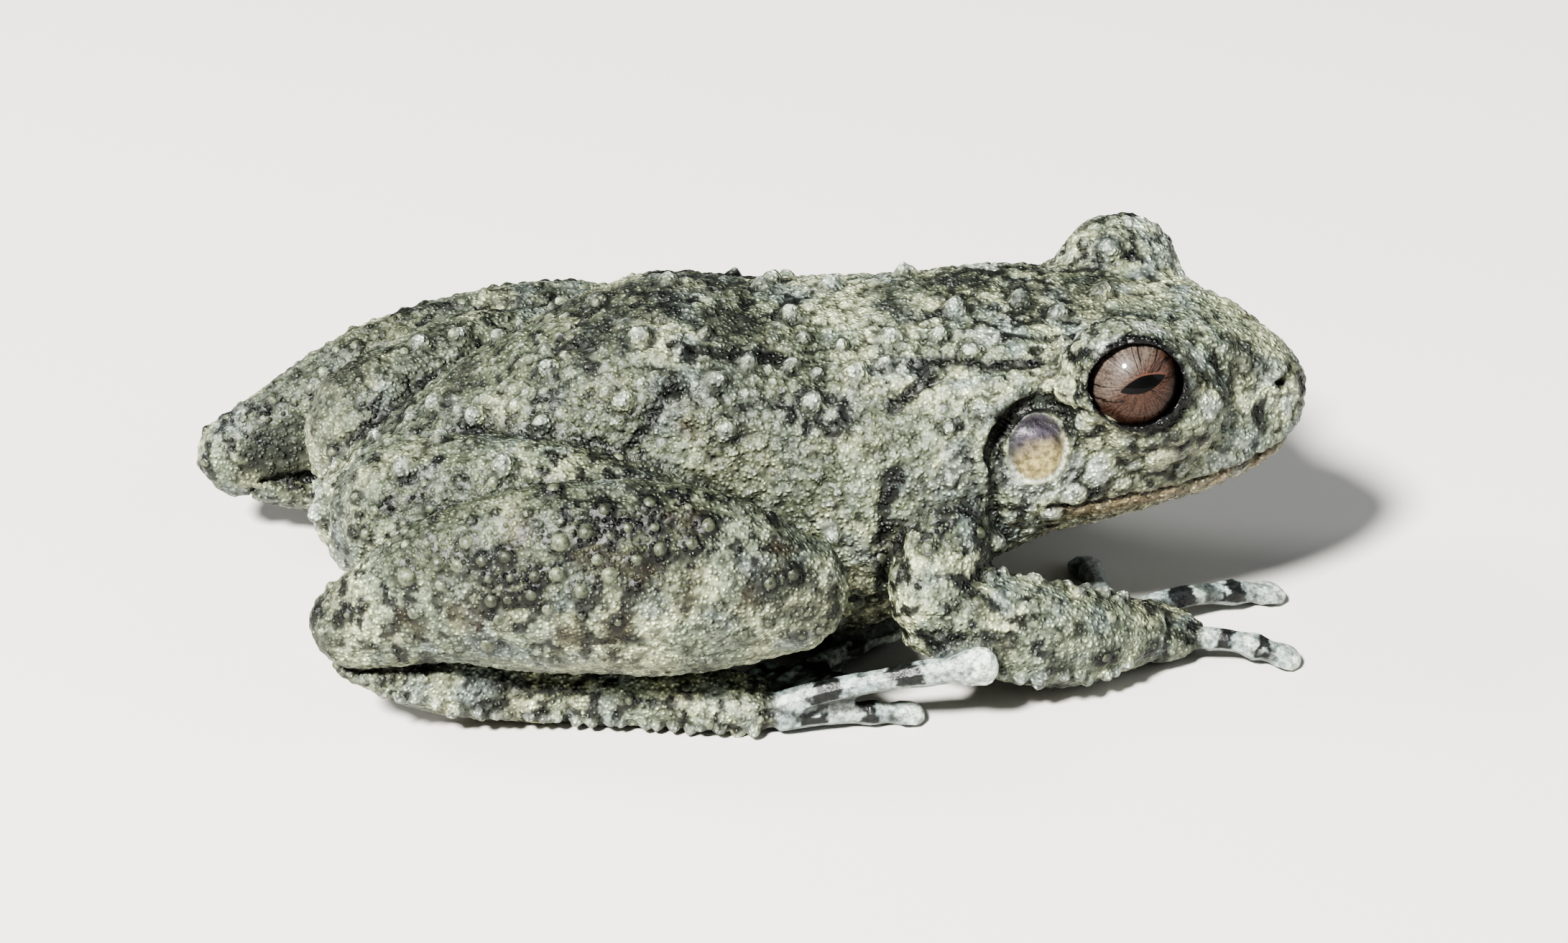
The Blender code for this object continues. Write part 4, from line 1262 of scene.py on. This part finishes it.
    def _colour_digits(self, normals: np.ndarray, colour: np.ndarray) -> np.ndarray:
        """Return the colours with banded toes and fingers and their pale discs.

        Args:
            normals: the outward direction at each vertex.
            colour: the vertices' colours.

        Returns:
            The new colours.
        """
        points = self.surface.points
        digits = self.share_of(*DIGITS, soften=4)
        banded = blend_to(Tone.DISC.over(points), Tone.GREY,
                          ease(0.42, 0.62, Pattern.DIGIT_GREY.at(points)) * 0.75)
        along = self.fields["along"] + 0.16 * (Pattern.BAND_EDGE.at(points) - 0.5)
        broken = ease(0.26, 0.36, Pattern.BAND_GAPS.at(points))
        banded = blend_to(banded, Tone.WHITE, ease(0.84, 0.92, along))
        upward = ease(-0.7, -0.2, normals[:, 2])
        for name in np.unique(self.parts):
            if not name.startswith(DIGITS) or name.startswith(PLAIN_DIGITS):
                continue
            shift = 0.08 * (Pattern.BAND_SHIFT.at(points[self.parts == name][:1])[0] - 0.5)
            bands = hill(along, 0.24 + shift, 0.10) + hill(along, 0.60 + shift, 0.085)
            bands = ease(0.5, 0.65, bands) * broken * (self.parts == name) * upward
            banded = blend_to(banded, Tone.BLACK, bands * 0.97)
        flecks = ease(0.60, 0.66, Pattern.DIGIT_FLECK.at(points)) * ease(0.62, 0.5, along)
        banded = blend_to(banded, Tone.DARK, flecks * 0.8)
        return colour + (banded - colour) * digits[:, None]

    def _colour_head(self, body: np.ndarray, colour: np.ndarray) -> np.ndarray:
        """Return the colours with drums, lips and nostrils, painted shade round the eyes, in the
        nostrils, along the mouth and at the drums, and a painted reflection on the lower lip.

        Args:
            body: the skin's vertices on the straight body.
            colour: their colours.

        Returns:
            The new colours.
        """
        on_head = self.share_of(*TRUNK)
        ring, depth, angle = EYE.measure(body)
        # Painted shade in the crevice between lid and ball, widest above it and below its front
        crevice_reach = 1.01 + 0.17 * hill(angle, 85, 45) + 0.32 * hill(angle, -50, 48)
        crevice_reach = crevice_reach + 0.16 * (Pattern.LASHES.at(body) - 0.5)
        eye_crevice_shade = ease(crevice_reach + 0.08, crevice_reach, ring) * on_head * (depth > -1.5)
        colour = blend_to(colour, Tone.BLACK, eye_crevice_shade)
        rim, way, turn = DRUM.measure(body)
        side = on_head * (way > -1.0)
        inside = ease(1.06, 0.96, rim) * side
        mottle = Pattern.DRUM.at(body) - 0.5
        lean = rim * np.sin(np.radians(turn - 30)) + mottle
        drum = blend_to(Tone.BRONZE.over(body), Tone.VIOLET, ease(-0.4, 0.6, lean))
        # Painted shade on the rear part of the drum, below the overhanging fold
        drum = blend_to(drum, Tone.DARK, ease(0.35, 0.9, -rim * np.cos(np.radians(turn))) * 0.8)
        arc = hill(rim, 0.93, 0.07) * ease(50, -10, turn) * ease(-179, -120, turn)
        drum = blend_to(drum, Tone.WHITE, arc * 0.8)
        colour = colour + (drum - colour) * inside[:, None]
        behind = self._behind_drum(turn)
        # Painted shade: a black crescent under the fold above and behind the drum
        colour = blend_to(colour, Tone.BLACK, hill(rim, 1.28, 0.22) * behind * side * 0.95)
        arcs = hill(rim, 1.18, 0.07) + hill(rim, 1.42, 0.07)
        arcs = arcs * ease(10, -50, turn) * ease(-175, -130, turn)
        colour = blend_to(colour, Tone.WHITE, arcs * side * 0.8)
        # Painted shade in the nostrils
        pit = NOSTRIL.measure(body)[0]
        colour = blend_to(colour, Tone.BLACK, ease(1.3, 0.8, pit) * on_head * (body[:, 0] > 39))
        lips = self._mouth_distance(body)
        # Painted reflection: warm light thrown up onto the lower lip, in mottled patches
        lower = ease(0.25, 0.0, lips) * ease(-1.2, -0.5, lips) * (body[:, 0] > 30.4)
        mottled = ease(0.3, 0.6, Pattern.LIP.at(body))
        colour = blend_to(colour, Tone.TAN, lower * on_head * (0.3 + 0.45 * mottled))
        colour = blend_to(colour, Tone.BLACK, self.fields["crack"] * 0.9)
        pale = blend_to(Tone.WHITE.over(body), Tone.CREAM,
                        ease(0.35, 0.65, Pattern.PAD_TONE.at(body)))
        colour = colour + (pale - colour) * (self.fields["pad"] * 0.85)[:, None]
        # Painted shade along the line of the mouth
        slit = hill(lips, 0.0, 0.09) * on_head * (body[:, 0] > 30.6)
        return blend_to(colour, Tone.DARK, slit * 0.8)

    def pieces(self) -> dict[str, np.ndarray]:
        """Return which faces go to each piece of skin.

        Returns:
            For each piece's name, whether each face is its own.
        """
        owners = self.parts[self.surface.quads[:, 0]]
        middle = self.frame.straight(self.surface.points[self.surface.quads].mean(axis=1))
        shares = {
            "skin_leg_r": self._owned(owners, "_r", *LEG),
            "skin_leg_l": self._owned(owners, "_l", *LEG),
            "skin_arms": self._owned(owners, "", *ARM),
        }
        trunk = ~np.any(list(shares.values()), axis=0)
        shares["skin_head"] = trunk & (middle[:, 0] > self.neck)
        shares["skin_trunk"] = trunk & (middle[:, 0] <= self.neck)
        return shares

    @staticmethod
    def _owned(owners: np.ndarray, ending: str, *stems: str) -> np.ndarray:
        """Return which faces belong to nodes with these stems and this ending."""
        names = [name for name in np.unique(owners) if name.startswith(stems) and name.endswith(ending)]
        return np.isin(owners, names)

    def make_piece(self, name: str, chosen: np.ndarray,
                   material: bpy.types.Material) -> bpy.types.Object:
        """Return one piece of the skin as an object.

        Args:
            name: the piece's name.
            chosen: which faces go to it.
            material: its finish.

        Returns:
            The object, at the origin, with its colours and the whole skin's shading.
        """
        used, quads = np.unique(self.surface.quads[chosen], return_inverse=True)
        quads = quads.reshape(-1, 4)
        mesh = bpy.data.meshes.new(name)
        mesh.from_pydata(self.frame.to_model(self.surface.points[used]).tolist(), [], quads.tolist())
        mesh.materials.append(material)
        mesh.shade_smooth()
        tone = mesh.color_attributes.new("tone", "FLOAT_COLOR", "POINT")
        rgba = np.column_stack([self.fields["tone"][used], np.ones(len(used))])
        tone.data.foreach_set("color", rgba.astype(np.float32).ravel())
        grain = mesh.attributes.new("grain", "FLOAT", "POINT")
        grain.data.foreach_set("value", self.fields["grain"][used].astype(np.float32))
        mesh.normals_split_custom_set_from_vertices(self.surface.normals()[used].tolist())
        return add_object(name, mesh)


class Wiring:
    """Adds and joins the nodes of one material."""

    def __init__(self, name: str) -> None:
        """Start a new material with its Principled shader."""
        self.material = bpy.data.materials.new(name)
        self.material.use_nodes = True
        self.nodes = self.material.node_tree.nodes
        self.links = self.material.node_tree.links
        self.shader = self.nodes["Principled BSDF"]

    def add(self, kind: str, inputs: dict[str | int, object] | None = None,
            **settings: object) -> bpy.types.Node:
        """Add a node.

        Args:
            kind: the node's type without its prefix.
            inputs: a number, colour or socket for each input that is set.
            **settings: properties of the node.

        Returns:
            The node.
        """
        node = self.nodes.new("ShaderNode" + kind)
        for key, value in settings.items():
            setattr(node, key, value)
        for key, value in (inputs or {}).items():
            self.put(node.inputs[key], value)
        return node

    def put(self, socket: bpy.types.NodeSocket, value: object) -> None:
        """Set a socket to a value, or join it to another socket.

        Args:
            socket: the input that is set.
            value: a number, a colour or the socket that feeds it.
        """
        if isinstance(value, bpy.types.NodeSocket):
            self.links.new(value, socket)
        else:
            socket.default_value = value

    def maths(self, operation: str, first: object, second: object = 0.0) -> bpy.types.NodeSocket:
        """Return the result of an operation on two values.

        Args:
            operation: the name of the operation.
            first: a number or a socket.
            second: a number or a socket; operations on one value leave it out.

        Returns:
            The result's socket.
        """
        node = self.add("Math", operation=operation)
        self.put(node.inputs[0], first)
        self.put(node.inputs[1], second)
        return node.outputs[0]

    def between(self, value: object, low: float, high: float, first: float = 0.0,
                last: float = 1.0) -> bpy.types.NodeSocket:
        """Return a smooth step of a value from first at low to last at high.

        Args:
            value: the socket that is stepped.
            low: where the step starts.
            high: where it ends.
            first: the result up to its start.
            last: the result from its end.

        Returns:
            The result's socket.
        """
        node = self.add("MapRange", interpolation_type="SMOOTHSTEP")
        for index, number in enumerate((value, low, high, first, last)):
            self.put(node.inputs[index], number)
        return node.outputs[0]

    def mix(self, share: object, first: object, second: object, mode: str = "MIX") -> bpy.types.NodeSocket:
        """Return two colours mixed by a share.

        Args:
            share: a number or a socket.
            first: the colour at a share of 0.
            second: the colour at a share of 1.
            mode: how the second colour is laid over the first.

        Returns:
            The mixed colour's socket.
        """
        node = self.add("Mix", data_type="RGBA", blend_type=mode)
        self.put(node.inputs[0], share)
        self.put(node.inputs[6], first)
        self.put(node.inputs[7], second)
        return node.outputs[2]

    def times(self, first: object, second: object) -> bpy.types.NodeSocket:
        """Return the product of two values."""
        return self.maths("MULTIPLY", first, second)

    def plus(self, first: object, second: object) -> bpy.types.NodeSocket:
        """Return the sum of two values."""
        return self.maths("ADD", first, second)

    def noise(self, place: object, scale: float, detail: float, rough: float = 0.5) -> bpy.types.NodeSocket:
        """Return noise at a place, from how fine, how detailed and how rough it is."""
        settings = {"Vector": place, "Scale": scale, "Detail": detail, "Roughness": rough}
        return self.add("TexNoise", settings).outputs["Fac"]

    def dress(self, inputs: dict[str, object]) -> bpy.types.Material:
        """Set inputs of the shader by name.

        Args:
            inputs: a number, a colour or a socket for each input.

        Returns:
            The finished material.
        """
        for name, value in inputs.items():
            self.put(self.shader.inputs[name], value)
        return self.material


@dataclass(frozen=True)
class MoistSkin:
    """The finish of the skin: tinted by its own colours, finely grained, with a moist gloss.

    Attributes:
        roughness: its roughness, before the dust makes it uneven.
        smooth_gloss: weight of the wet coat where there is no grain.
        grain_gloss: its weight on grainy skin.
        glint_gloss: what is added to it on glinting grains.
        glint_gain: how far the colour of a glinting grain is raised, a painted highlight.
        dust: how fine the light and dark dust is.
        grain: how fine the grains are.
        glint_patches: how fine the patches of glinting grains are.
        grain_depth: how deep the grain is, in metres.
        gap: the colour between the grains, as linear light.
    """

    roughness: float = 0.45
    smooth_gloss: float = 0.4
    grain_gloss: float = 0.18
    glint_gloss: float = 0.9
    glint_gain: float = 2.2
    dust: float = 3400.0
    grain: float = 4800.0
    glint_patches: float = 1700.0
    grain_depth: float = 0.00009
    gap: tuple[float, float, float, float] = (0.012, 0.013, 0.011, 1.0)

    def material(self) -> bpy.types.Material:
        """Return the skin's material.

        Returns:
            A material that reads the attributes tone and grain.
        """
        wiring = Wiring("moist_skin")
        place = wiring.add("TexCoord").outputs["Object"]
        tone = wiring.add("Attribute", attribute_name="tone").outputs["Color"]
        rough = wiring.add("Attribute", attribute_name="grain").outputs["Fac"]
        speckle = wiring.noise(place, self.dust, 5.0, 0.7)
        colour = wiring.mix(1.0, tone, wiring.between(speckle, 0.36, 0.64, 0.45, 1.5), "MULTIPLY")
        grains = wiring.add("TexVoronoi", {"Vector": place, "Scale": self.grain, "Randomness": 1.0})
        dome = wiring.between(grains.outputs["Distance"], 0.0, 0.62, 1.0, 0.0)
        gaps = wiring.times(wiring.between(dome, 0.45, 0.1), rough)
        colour = wiring.mix(wiring.times(gaps, 0.5), colour, self.gap)
        patches = wiring.between(wiring.noise(place, self.glint_patches, 2.0), 0.46, 0.58)
        glint = wiring.times(wiring.times(wiring.between(dome, 0.7, 0.95), patches), rough)
        # Painted highlight: glinting grains are paled in the base colour as well as glossed
        painted_glint = wiring.between(glint, 0.0, 1.0, 1.0, self.glint_gain)
        colour = wiring.mix(1.0, colour, painted_glint, "MULTIPLY")
        gloss = wiring.between(rough, 0.0, 1.0, self.smooth_gloss, self.grain_gloss)
        height = wiring.plus(wiring.times(dome, rough), wiring.times(speckle, 0.5))
        bump = wiring.add("Bump", {"Height": height, "Strength": 1.0, "Distance": self.grain_depth})
        return wiring.dress({
            "Base Color": colour,
            "Roughness": wiring.between(speckle, 0.3, 0.7, self.roughness - 0.12, self.roughness + 0.14),
            "Specular IOR Level": 0.3,
            "Normal": bump.outputs["Normal"],
            "Coat Normal": bump.outputs["Normal"],
            "Coat Weight": wiring.plus(gloss, wiring.times(glint, self.glint_gloss)),
            "Coat Roughness": 0.14,
            "Subsurface Weight": 0.06,
            "Subsurface Radius": (1.0, 0.7, 0.4),
            "Subsurface Scale": 0.0003,
        })


@dataclass(frozen=True)
class CopperIris:
    """The finish of an eye: a copper iris with dark cracks and a black slit, under a wet gloss.

    Colours are linear light.

    Attributes:
        half_slit: half the pupil's length, as a share of the ball's radius.
        half_gape: half its height.
        tilt: how far its front end is raised, in degrees.
        shift: how far the iris is moved on the ball's chart.
        copper: the darkest and the lightest copper of the lower iris.
        silver: the darkest and the lightest silver of the upper iris.
        vein: the cracks' colour.
        lip: the colour of the pupil's upper edge.
        shade: the colour of the painted shade on the front of the iris, and of the dark ring round it.
        pupil: the slit's colour.
    """

    half_slit: float = 0.29
    half_gape: float = 0.098
    tilt: float = 20.0
    shift: tuple[float, ...] = (-0.54, -0.515, 0.0)
    copper: tuple[tuple[float, ...], ...] = ((0.019, 0.010, 0.007, 1), (0.076, 0.042, 0.031, 1))
    silver: tuple[tuple[float, ...], ...] = ((0.038, 0.029, 0.024, 1), (0.125, 0.102, 0.087, 1))
    vein: tuple[float, ...] = (0.008, 0.005, 0.004, 1)
    lip: tuple[float, ...] = (0.105, 0.050, 0.034, 1)
    shade: tuple[float, ...] = (0.004, 0.003, 0.0025, 1)
    pupil: tuple[float, ...] = (0.002, 0.002, 0.002, 1)

    def material(self) -> bpy.types.Material:
        """Return the eye's material.

        Returns:
            A material that reads the chart gaze, whose middle is the front of the ball.
        """
        wiring = Wiring("copper_iris")
        chart = wiring.add("UVMap", uv_map="gaze").outputs["UV"]
        centred = wiring.add("Mapping", {"Vector": chart, "Location": self.shift}).outputs[0]
        turned = wiring.add("VectorRotate", {"Vector": centred, "Angle": -math.radians(self.tilt)},
                            rotation_type="Z_AXIS")
        axes = wiring.add("SeparateXYZ", {"Vector": turned.outputs[0]})
        along, rise = (wiring.times(axes.outputs[name], 2.0) for name in "XY")
        length = wiring.add("VectorMath", {0: centred}, operation="LENGTH").outputs["Value"]
        from_middle = wiring.times(length, 2.0)
        slit = self._slit(wiring, along, rise)
        fleck = wiring.noise(chart, 60.0, 4.0, 0.7)
        iris = self._cracked(wiring, fleck, along, rise, from_middle)
        rim = wiring.times(wiring.between(slit, 1.45, 1.15), wiring.between(rise, 0.0, 0.04))
        rim = wiring.times(rim, wiring.between(along, -0.2, 0.1))
        iris = wiring.mix(wiring.times(rim, 0.8), iris, self.lip)
        # Painted shade darkens the front and lower front of the iris; the ring round its edge is dark as
        # well
        lean = wiring.maths("SUBTRACT", wiring.times(along, 0.55), wiring.times(rise, 0.3))
        front = wiring.between(wiring.plus(wiring.times(from_middle, 0.35), lean), 0.26, 0.48)
        shade = wiring.maths("MAXIMUM", front, wiring.between(from_middle, 0.74, 0.86))
        iris = wiring.mix(shade, iris, self.shade)
        bump = wiring.add("Bump", {"Height": fleck, "Strength": 0.15, "Distance": 0.00003})
        return wiring.dress({
            "Base Color": wiring.mix(wiring.between(slit, 1.12, 0.95), iris, self.pupil),
            "Normal": bump.outputs["Normal"],
            "Roughness": 0.4,
            "Specular IOR Level": 0.15,
            "Coat IOR": 1.36,
            "Coat Weight": 0.38,
            "Coat Roughness": 0.02,
        })

    def _slit(self, wiring: Wiring, along: bpy.types.NodeSocket,
              rise: bpy.types.NodeSocket) -> bpy.types.NodeSocket:
        """Return how far out a place is from the pupil's middle, with 1 on its edge.

        Args:
            wiring: the eye's nodes.
            along: the place along the pupil.
            rise: the place across it.

        Returns:
            The distance's socket.
        """
        out = wiring.maths("ABSOLUTE", wiring.maths("DIVIDE", along, self.half_slit))
        gape = wiring.maths("ABSOLUTE", wiring.maths("DIVIDE", rise, self.half_gape))
        return wiring.plus(wiring.maths("POWER", out, 1.6), wiring.maths("POWER", gape, 1.3))

    def _cracked(self, wiring: Wiring, fleck: bpy.types.NodeSocket, along: bpy.types.NodeSocket,
                 rise: bpy.types.NodeSocket, from_middle: bpy.types.NodeSocket) -> bpy.types.NodeSocket:
        """Return the iris's copper and silver with fine rays and dark cracks.

        Args:
            wiring: the eye's nodes.
            fleck: fine noise.
            along: the place along the pupil.
            rise: the place across it.
            from_middle: the distance from the iris's middle.

        Returns:
            The colour's socket.
        """
        spin = wiring.maths("ARCTAN2", rise, along)
        polar = wiring.add("CombineXYZ", {
            "X": wiring.times(wiring.maths("COSINE", spin), 2.0),
            "Y": wiring.times(wiring.maths("SINE", spin), 2.0),
            "Z": wiring.times(from_middle, 0.7)}).outputs[0]
        wander = wiring.add("TexNoise", {"Vector": polar, "Scale": 2.2, "Detail": 3.0}).outputs["Color"]
        bent = wiring.add("VectorMath", {0: wander, 1: (0.55, 0.55, 0.55)}, operation="MULTIPLY")
        bent = wiring.add("VectorMath", {0: polar, 1: bent.outputs[0]}, operation="ADD")
        cracks = wiring.add("TexVoronoi", {"Vector": bent.outputs[0], "Scale": 0.95},
                            feature="DISTANCE_TO_EDGE")
        rays = wiring.noise(polar, 7.0, 5.0, 0.7)
        grained = wiring.between(wiring.plus(wiring.times(fleck, 0.5), wiring.times(rays, 0.5)), 0.36, 0.64)
        upper = wiring.maths("SUBTRACT", rise, wiring.times(along, 0.45))
        iris = wiring.mix(wiring.between(upper, 0.02, 0.30), wiring.mix(grained, *self.copper),
                          wiring.mix(grained, *self.silver))
        veins = wiring.between(cracks.outputs["Distance"], 0.035, 0.008)
        return wiring.mix(wiring.times(veins, 0.9), iris, self.vein)


@dataclass
class Eye:
    """One eyeball: a smooth ball behind the lids, with its pattern laid out round its axis.

    Attributes:
        frame: the frog's frame.
        side: the side of the head that it is on.
        radius: the ball's radius.
        segments: faces round the axis.
        rows: rows of faces from the middle of the front to the rim.
        reach: how far round from the front the ball goes, in degrees.
    """

    frame: FrogFrame
    side: Side
    radius: float = 2.1
    segments: int = 96
    rows: int = 48
    reach: float = 100.0

    def build(self, material: bpy.types.Material) -> bpy.types.Object:
        """Return the eyeball as an object.

        Args:
            material: the eye's finish.

        Returns:
            The object, at the origin, with its chart gaze.
        """
        centre = np.array(EYE.centre) * (1, self.side.value, 1)
        axis = np.array(EYE.axis) * (1, self.side.value, 1)
        middle = self.frame.bent(tuple(centre))
        axis = self.frame.bent(tuple(centre + axis)) - middle
        axis /= np.linalg.norm(axis)
        forward = np.cross(axis, (0, 0, 1)) * self.side.value
        forward /= np.linalg.norm(forward)
        upward = np.cross(forward, axis) * self.side.value
        work = bmesh.new()
        chart = work.loops.layers.uv.new("gaze")
        places, grid = {}, []
        for row in range(self.rows + 1):
            lean = math.radians(self.reach) * row / self.rows
            ring = []
            for segment in range(self.segments if row else 1):
                turn = 2 * math.pi * segment / self.segments
                across = math.sin(lean) * math.cos(turn)
                rise = math.sin(lean) * math.sin(turn)
                offset = axis * math.cos(lean) + forward * across + upward * rise
                vertex = work.verts.new(self.frame.to_model(middle + offset * self.radius))
                share = lean / (math.pi / 2)
                places[vertex] = (0.5 + 0.5 * share * math.cos(turn), 0.5 + 0.5 * share * math.sin(turn))
                ring.append(vertex)
            grid.append(ring)
        for segment in range(self.segments):
            following = (segment + 1) % self.segments
            work.faces.new((grid[0][0], grid[1][segment], grid[1][following]))
            for row in range(1, self.rows):
                near, far = grid[row], grid[row + 1]
                work.faces.new((near[segment], far[segment], far[following], near[following]))
        depth = self.radius * math.cos(math.radians(self.reach))
        back = work.verts.new(self.frame.to_model(middle + axis * depth))
        places[back] = (1.0, 0.5)
        for segment in range(self.segments):
            work.faces.new((grid[-1][segment], back, grid[-1][(segment + 1) % self.segments]))
        bmesh.ops.recalc_face_normals(work, faces=work.faces)
        for face in work.faces:
            face.smooth = True
            for loop in face.loops:
                loop[chart].uv = places[loop.vert]
        mesh = bpy.data.meshes.new(f"eyeball_{self.side.letter}")
        work.to_mesh(mesh)
        work.free()
        mesh.materials.append(material)
        return add_object(mesh.name, mesh)


@dataclass(frozen=True)
class Lamp:
    """A soft round light that faces the frog.

    Attributes:
        name: its name.
        place: where it hangs, in the frog's frame.
        size: its width in metres.
        watts: its power.
        colour: its colour, as linear light.
    """

    name: str
    place: tuple[float, float, float]
    size: float
    watts: float
    colour: tuple[float, float, float]


LAMPS = (
    Lamp("key", (-351.0, -427.0, 572.0), 0.13, 22.0, (1.0, 0.98, 0.95)),
    Lamp("fill", (570.0, -360.0, 360.0), 0.6, 1.3, (0.9, 0.95, 1.0)),
    Lamp("back", (-561.0, 210.0, 514.0), 0.25, 2.0, (1.0, 1.0, 1.0)),
)


@dataclass
class Studio:
    """A plain pale floor, soft lights and the camera that sees what the photograph shows.

    Attributes:
        frame: the frog's frame.
        view: the view of the photograph.
        floor_half: half the floor's width in metres.
        floor_tone: the floor's colour, as linear light.
        sky: the colour of the light from all round.
        sky_strength: how strong that light is.
    """

    frame: FrogFrame
    view: PhotoView
    floor_half: float = 3.0
    floor_tone: tuple[float, ...] = (0.60, 0.59, 0.56, 1.0)
    sky: tuple[float, ...] = (0.93, 0.95, 1.0, 1.0)
    sky_strength: float = 0.16

    def build(self) -> None:
        """Make the floor, lights and camera."""
        self._floor()
        for lamp in LAMPS:
            self._hang(lamp)
        self._camera()
        world = bpy.data.worlds.new("studio")
        world.use_nodes = True
        backdrop = world.node_tree.nodes["Background"]
        backdrop.inputs["Color"].default_value = self.sky
        backdrop.inputs["Strength"].default_value = self.sky_strength
        bpy.context.scene.world = world
        bpy.context.scene.view_settings.look = "AgX - High Contrast"

    def _floor(self) -> None:
        """Make the floor, a wide level sheet under the frog."""
        half = self.floor_half
        low = self.frame.to_model((0.0, 0.0, 0.0))[2]
        mesh = bpy.data.meshes.new("floor")
        corners = [(-half, -half, low), (half, -half, low), (half, half, low), (-half, half, low)]
        mesh.from_pydata(corners, [], [(0, 1, 2, 3)])
        finish = {"Base Color": self.floor_tone, "Roughness": 0.8}
        mesh.materials.append(Wiring("pale_floor").dress(finish))
        thing = add_object("floor", mesh)

    def _hang(self, lamp: Lamp) -> None:
        """Hang one soft light that faces the frog.

        Args:
            lamp: the light.
        """
        light = bpy.data.lights.new(lamp.name, "AREA")
        light.shape = "DISK"
        light.size = lamp.size
        light.energy = lamp.watts
        light.color = lamp.colour
        thing = add_object(lamp.name, light)
        thing.location = self.frame.to_model(lamp.place)
        way = Vector(self.frame.to_model(self.view.target)) - thing.location
        thing.rotation_mode = "QUATERNION"
        thing.rotation_quaternion = way.to_track_quat("-Z", "Y")

    def _camera(self) -> None:
        """Stand the camera where the photograph was taken from."""
        right, upward, into = self.view.axes()
        camera = bpy.data.cameras.new("camera")
        camera.sensor_width = 36.0
        camera.lens = camera.sensor_width * self.view.scale * self.view.distance / PHOTO_SIZE[0]
        camera.clip_start = 0.005
        camera.clip_end = 5.0
        thing = add_object("camera", camera)
        turn = Matrix((Vector(right), Vector(upward), Vector(-into))).transposed()
        place = Matrix.Translation(Vector(self.frame.to_model(self.view.position())))
        thing.matrix_world = place @ turn.to_4x4()
        bpy.context.scene.camera = thing


def main() -> None:
    """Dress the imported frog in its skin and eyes, and light it."""
    logging.basicConfig(level=logging.INFO, format="%(name)s: %(message)s")
    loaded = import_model()
    nodes = loaded["nodes"]
    frame = FrogFrame.from_torso(nodes["torso"])
    view = PhotoView()
    flesh = {name: node for name, node in nodes.items() if not name.startswith("eye")}
    skin = Skin(frame, view)
    skin.build(flesh)
    moist = MoistSkin().material()
    for name, chosen in skin.pieces().items():
        piece = skin.make_piece(name, chosen, moist)
        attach(piece, "root")
        owned = np.unique(skin.parts[skin.surface.quads[chosen][:, 0]])
        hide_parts(*[str(owner) for owner in owned])
        log.info("%s: %d quads", name, chosen.sum())
    beads = skin.beads.build("skin_beads", frame, moist)
    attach(beads, "root")
    log.info("%s: %d faces", beads.name, len(beads.data.polygons))
    iris = CopperIris().material()
    for side in Side:
        ball = Eye(frame, side).build(iris)
        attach(ball, "root")
        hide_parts(f"eye_{side.letter}")
        log.info("%s: made", ball.name)
    Studio(frame, view).build()


if __name__ == "__main__":
    main()
